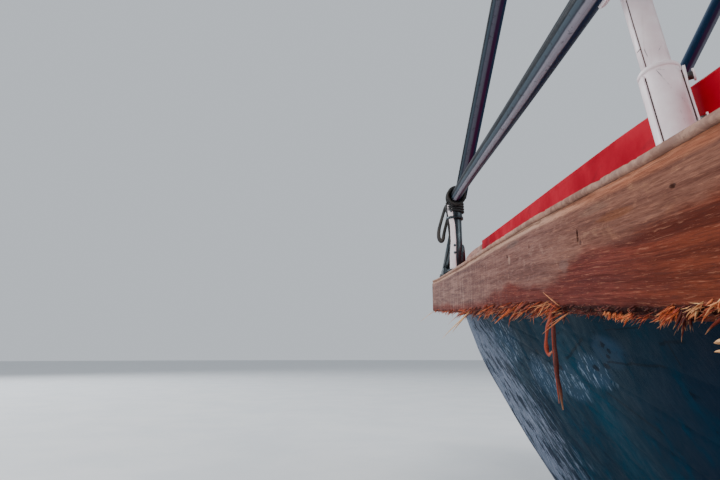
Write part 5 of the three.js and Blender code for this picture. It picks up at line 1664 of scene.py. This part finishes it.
def fringe(side_name):
    """Splintered fibres along the plank's lower edge, most of them swept forward."""
    side = SIDES[side_name]
    seed = PLANK_SEEDS[side]
    rng = random.Random(41 if side > 0 else 97)
    parts = Parts()
    for start, stop, count, length, width, hang, rise, out, dark, pale in BUNDLES:
        for _ in range(count):
            x = rng.uniform(stop, start)
            height = rng.random() ** 1.6 * rise
            inset = rng.uniform(-0.0004, 0.001) if height > 0.005 else rng.uniform(0.0, 0.012)
            at = plank_point(x, inset, plank_deep(x) - torn(x, seed) * 0.6 - height, side)
            forward = rng.choice((1, 1, 1, 1, -0.5)) * rng.uniform(0.7, 1.3)
            outward = side * rng.uniform(0.02, out)
            way = (forward, outward, rng.uniform(-0.35, 0.08) - hang * rng.uniform(0.2, 0.9))
            long = length * rng.uniform(0.4, 1.3)
            own = dark + (pale - dark) * rng.random()
            shred(parts, at, way, long, width * rng.uniform(0.5, 1.25), rng, own, 0.55, hang * 0.8)
    for x, height, way, count, length, breadth, dark, pale in TUFTS:
        for _ in range(count):
            off = [rng.gauss(0, 0.35) * breadth for _ in range(3)]
            at = plank_point(x + off[0], 0.002 - abs(off[1]), plank_deep(x) - height - off[2], side)
            lean = Vector((way[0], side * way[1], way[2])) + Vector([rng.gauss(0, 0.14) for _ in range(3)])
            own = dark + (pale - dark) * rng.random()
            long, wide = length * rng.uniform(0.45, 1.1), 0.0017 * rng.uniform(0.6, 1.3)
            shred(parts, at, lean, long, wide, rng, own, 0.7, 0.1)
    parts.piece("splinters_" + side_name, SHRED, uv=True)


# Strands that hang from the port plank's edge. Columns: width, thickness against it, tone, and the
# points as x, distance out from the plank's face, z
STRANDS = [
    (0.0090, 0.30, 0.06, [
        (2.694, 0.001, 0.616), (2.692, 0.003, 0.600), (2.6917, 0.004, 0.5835), (2.6925, 0.004, 0.566),
        (2.6906, 0.004, 0.5517), (2.6885, 0.005, 0.535), (2.6887, 0.004, 0.5187), (2.6860, 0.003, 0.5040),
        (2.6800, 0.004, 0.4900), (2.6765, 0.004, 0.4790),
    ]),
    (0.0036, 0.5, 0.42, [
        (2.696, 0.003, 0.614), (2.6945, 0.005, 0.590), (2.6955, 0.006, 0.560), (2.6925, 0.006, 0.530),
        (2.6915, 0.005, 0.510), (2.6930, 0.004, 0.4960), (2.6920, 0.004, 0.4860),
    ]),
    (0.0092, 0.3, 0.44, [
        (2.699, 0.001, 0.612), (2.7040, 0.004, 0.600), (2.7130, 0.006, 0.590), (2.7215, 0.006, 0.579),
        (2.7300, 0.005, 0.568), (2.7330, 0.004, 0.558), (2.7290, 0.004, 0.5515), (2.7190, 0.005, 0.5500),
        (2.7080, 0.006, 0.5520), (2.7010, 0.006, 0.5545),
    ]),
]
# Single splinters. Columns: x, height above the edge, direction, length, width, tone
SPLINTERS = [
    (4.82, 0.004, (1.0, 0.45, -0.42), 0.15, 0.0046, 0.97),
    (4.70, 0.004, (1.0, 0.60, -0.30), 0.08, 0.0040, 0.80),
    (3.52, 0.002, (1.0, 0.20, -0.40), 0.19, 0.0042, 1.00),
    (3.50, 0.002, (1.0, 0.16, -0.34), 0.14, 0.0036, 0.92),
    (3.62, 0.004, (1.0, 0.18, -0.20), 0.13, 0.0034, 0.80),
    (2.668, 0.010, (0.86, 0.06, 0.50), 0.046, 0.0026, 0.86),
    (2.674, 0.006, (0.80, 0.10, 0.40), 0.030, 0.0022, 0.70),
    (2.629, 0.002, (0.98, 0.05, -0.22), 0.060, 0.0030, 0.86),
    (2.633, 0.001, (0.96, 0.10, -0.34), 0.066, 0.0026, 0.80),
    (2.640, 0.003, (0.98, 0.02, -0.12), 0.050, 0.0026, 0.66),
    (2.318, -0.013, (0.95, 0.25, -0.14), 0.008, 0.0036, 0.98),
    (2.319, -0.020, (0.95, 0.20, -0.05), 0.008, 0.0032, 0.96),
]


def long_strands():
    """The hanging ribbons, the pale straws and the thin splinter on the port plank's face."""
    rng = random.Random(7)
    parts = Parts()
    for width, thin, own, places in STRANDS:
        path = [Vector((x, PLANK.at(x, "outer") + out, z)) for x, out, z in smoothed(places, 3)]
        rings, uvs = [], []
        for i, point in enumerate(path):
            t = i / (len(path) - 1)
            way = heading(path, i).normalized()
            face = (Vector((-0.35, 0.93, 0.05)) + Vector((0.25 * math.sin(7 * t), 0, 0))).normalized()
            side = way.cross(face).normalized()
            half = width / 2 * (1 - 0.62 * t**1.5) * (1 + 0.18 * math.sin(23 * t + width * 900))
            corners = ((1, 0.3), (0.2, 1), (-1, 0.2), (-0.3, -0.9))
            rings.append([point + side * half * a + face * half * thin * b for a, b in corners])
            uvs += [(own, 0.35 + 0.5 * t)] * 4
        parts.rings(rings, True, uvs)
    for x, height, way, long, width, own in SPLINTERS:
        at = plank_point(x, -0.001, plank_deep(x) - height, 1)
        shred(parts, at, way, long, width, rng, own, 0.12, 0.10)
    parts.piece("strands", SHRED, uv=True)


def hull_sections():
    """At each station of the CAD hull: its top, the angle down to the keel, and the reach at each angle."""
    points = np.array([v.co for v in NODES["hull_port"].data.vertices])
    tops, lasts, reaches = [], [], []
    for x in HULL_X:
        near = points[np.abs(points[:, 0] - x) < 1e-4]
        top, low = near[:, 2].max(), near[:, 2].min()
        last = math.atan2(top - low - 0.0005, max(near[near[:, 2] < low + 1e-5][:, 1].max(), 0.01))
        middle = Vector((clamp(x, HULL_X[0] + 0.0005, HULL_X[-1] - 0.0005), 0, top))
        reach = [near[:, 1].max()]
        for k in range(1, HULL_RAYS):
            angle = last * k / (HULL_RAYS - 1) * 0.9995
            ray = Vector((0, math.cos(angle), -math.sin(angle)))
            hit = HULL_TREE.ray_cast(middle + ray * 3, -ray)[0]
            reach.append((hit - middle).length if hit else reach[-1])
        eased = np.convolve(np.pad(reach, 2, mode="edge"), np.array([1, 2, 3, 2, 1]) / 9, mode="valid")
        eased[0], eased[-1] = reach[0], reach[-1]
        tops.append(top)
        lasts.append(last)
        reaches.append(eased)
    return np.array(tops), np.array(lasts), np.array(reaches)


def cubic(values, x):
    """Smooth value between the hull's stations."""
    i = int(np.clip(np.searchsorted(HULL_X, x) - 1, 0, len(HULL_X) - 2))
    span = HULL_X[i + 1] - HULL_X[i]
    t = (x - HULL_X[i]) / span

    def slope(j):
        p, q = max(j - 1, 0), min(j + 1, len(HULL_X) - 1)
        return (values[q] - values[p]) / (HULL_X[q] - HULL_X[p])

    return (
        (2 * t**3 - 3 * t * t + 1) * values[i]
        + (t**3 - 2 * t * t + t) * span * slope(i)
        + (3 * t * t - 2 * t**3) * values[i + 1]
        + (t**3 - t * t) * span * slope(i + 1)
    )


def hull_skin(side_name):
    """The planking as one smooth skin with the seams of its strakes."""
    side = SIDES[side_name]
    tops, lasts, reaches = hull_sections()
    shares = [0.0]
    for strake in range(HULL_ROWS):
        a, b, gap = strake / HULL_ROWS, (strake + 1) / HULL_ROWS, 0.06 / HULL_ROWS
        shares += [a + gap, *np.linspace(a, b, 6)[1:-1], b - gap, b]
    xs = [*np.arange(HULL_X[0], 2.1, 0.08), *np.arange(2.1, HULL_X[-1], 0.02), HULL_X[-1]]
    rings = []
    for x in xs:
        top, last, reach = cubic(tops, x), cubic(lasts, x), cubic(reaches, x)
        middle = Vector((x, 0, top))
        outer, inner = [], []
        for n, share in enumerate(shares):
            angle = last * share
            r = float(np.interp(share * (HULL_RAYS - 1), range(HULL_RAYS), reach))
            seam = HULL_SEAM if n % 7 == 0 and 0 < n < len(shares) - 1 else 0.0
            wave = ripple(x * 2.2, share * 9, 1.7 * side) * 0.0016
            ray = Vector((0, side * math.cos(angle), -math.sin(angle)))
            outer.append(middle + ray * (r - seam + wave * (share > 0.02)))
            inner.append(middle + ray * max(r - HULL_THICK / max(abs(math.cos(angle * 0.4)), 0.4), 0.004))
        rings.append(outer + inner[::-1])
    parts = Parts()
    parts.rings(rings)
    piece = parts.piece("planking_" + side_name, FINISH["hull_paint"])
    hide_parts("hull_" + side_name)


def cloth_rows(shares):
    """Rows of points across the canopy, from aft to forward."""
    tree, lines = ray_tree("canopy_roof"), Lines("canopy_roof")
    low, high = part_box("canopy_roof")
    bows = lines.x[1:-1]
    xs = np.arange(low.x + CLOTH_OFF_EDGE, high.x - 0.003, 0.02)
    rows = []
    for x in xs:
        half = lines.at(x, "outer")
        slack = smooth(min(abs(bows - x)), 0.0, 0.5)
        end = min(x - xs[0], xs[-1] - x)
        sewn = end < 0.03 or min(abs(x - seam) for seam in CLOTH_SEAMS) < 0.018
        row = []
        for share in shares:
            y = share * (half - CLOTH_OFF_EDGE)
            hit = tree.ray_cast(Vector((x, y, high.z + 1)), Vector((0, 0, -1)))[0]
            z = hit.z if hit else row[-1].z
            hang = slack * (0.010 * (1 - share**4) + 0.060 * share**2 * (1 - share**2))
            wrinkle = 0.0022 * ripple(x * 9, y * 3.5, 0) + 0.0012 * ripple(x * 30, y * 8, 4)
            scallop = 0.008 * smooth(abs(share), 0.94, 1.0) * (1 + math.sin(x * 22))
            hem = CLOTH_THICK if sewn or (1 - abs(share)) * half < 0.034 else 0.0
            row.append(Vector((x, y, z - 0.004 - hang + wrinkle - scallop + hem)))
        rows.append(row)
    return rows


def canopy_eyelets(rows):
    """Brass rings in the hem along both edges of the cloth."""
    eyelets = Parts()
    last = len(rows[0]) - 1
    ring = [(0.0, 0.0060), (0.0016, 0.0070), (0.0018, 0.0105)]
    ring += [(0.0004, 0.0120), (-0.0030, 0.0120), (-0.0034, 0.0060)]
    for i in range(12, len(rows) - 5, 22):
        for j, k in ((2, 1), (last - 2, last - 1)):
            at = (rows[i][j] + rows[i][k]) / 2
            flat = (rows[i + 1][j] - rows[i - 1][j]).cross(rows[i][j + 1] - rows[i][j - 1]).normalized()
            eyelets.turned(at, flat if flat.z > 0 else -flat, ring, 16)
    eyelets.piece("canopy_eyelets", FINISH["prop_brass"])


def canopy_cloth():
    """One sheet over the bows, pulled down at its edges and sagging between the bows."""
    rows = cloth_rows(np.linspace(-1, 1, 121))
    parts = Parts()
    parts.rings(rows, closed=False)
    piece = parts.piece("canopy_cloth", FINISH["canopy_cloth"])
    thick = piece.modifiers.new("cloth", "SOLIDIFY")
    thick.thickness, thick.offset = CLOTH_THICK, -1.0
    canopy_eyelets(rows)
    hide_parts("canopy_roof")


photo_camera()
studio()
floor()
dress_nodes()
for side_name in SIDES:
    sheer_plank(side_name)
    fringe(side_name)
    hull_skin(side_name)
    cap_board(side_name)
    rail_path = pipe_rail("side_rail", side_name, SIDE_RAIL_RADIUS, (1.62, -0.1, -1.8))
    canopy_posts(side_name, rail_path)
    strut_pipe(side_name)
    pipe_rail("roof_rail", side_name, ROOF_RAIL_RADIUS, (1.7, -0.1, -1.8))
    bow_fittings(side_name)
    post_fittings(side_name)
long_strands()
inner_boards()
engine_fittings()
canopy_cloth()
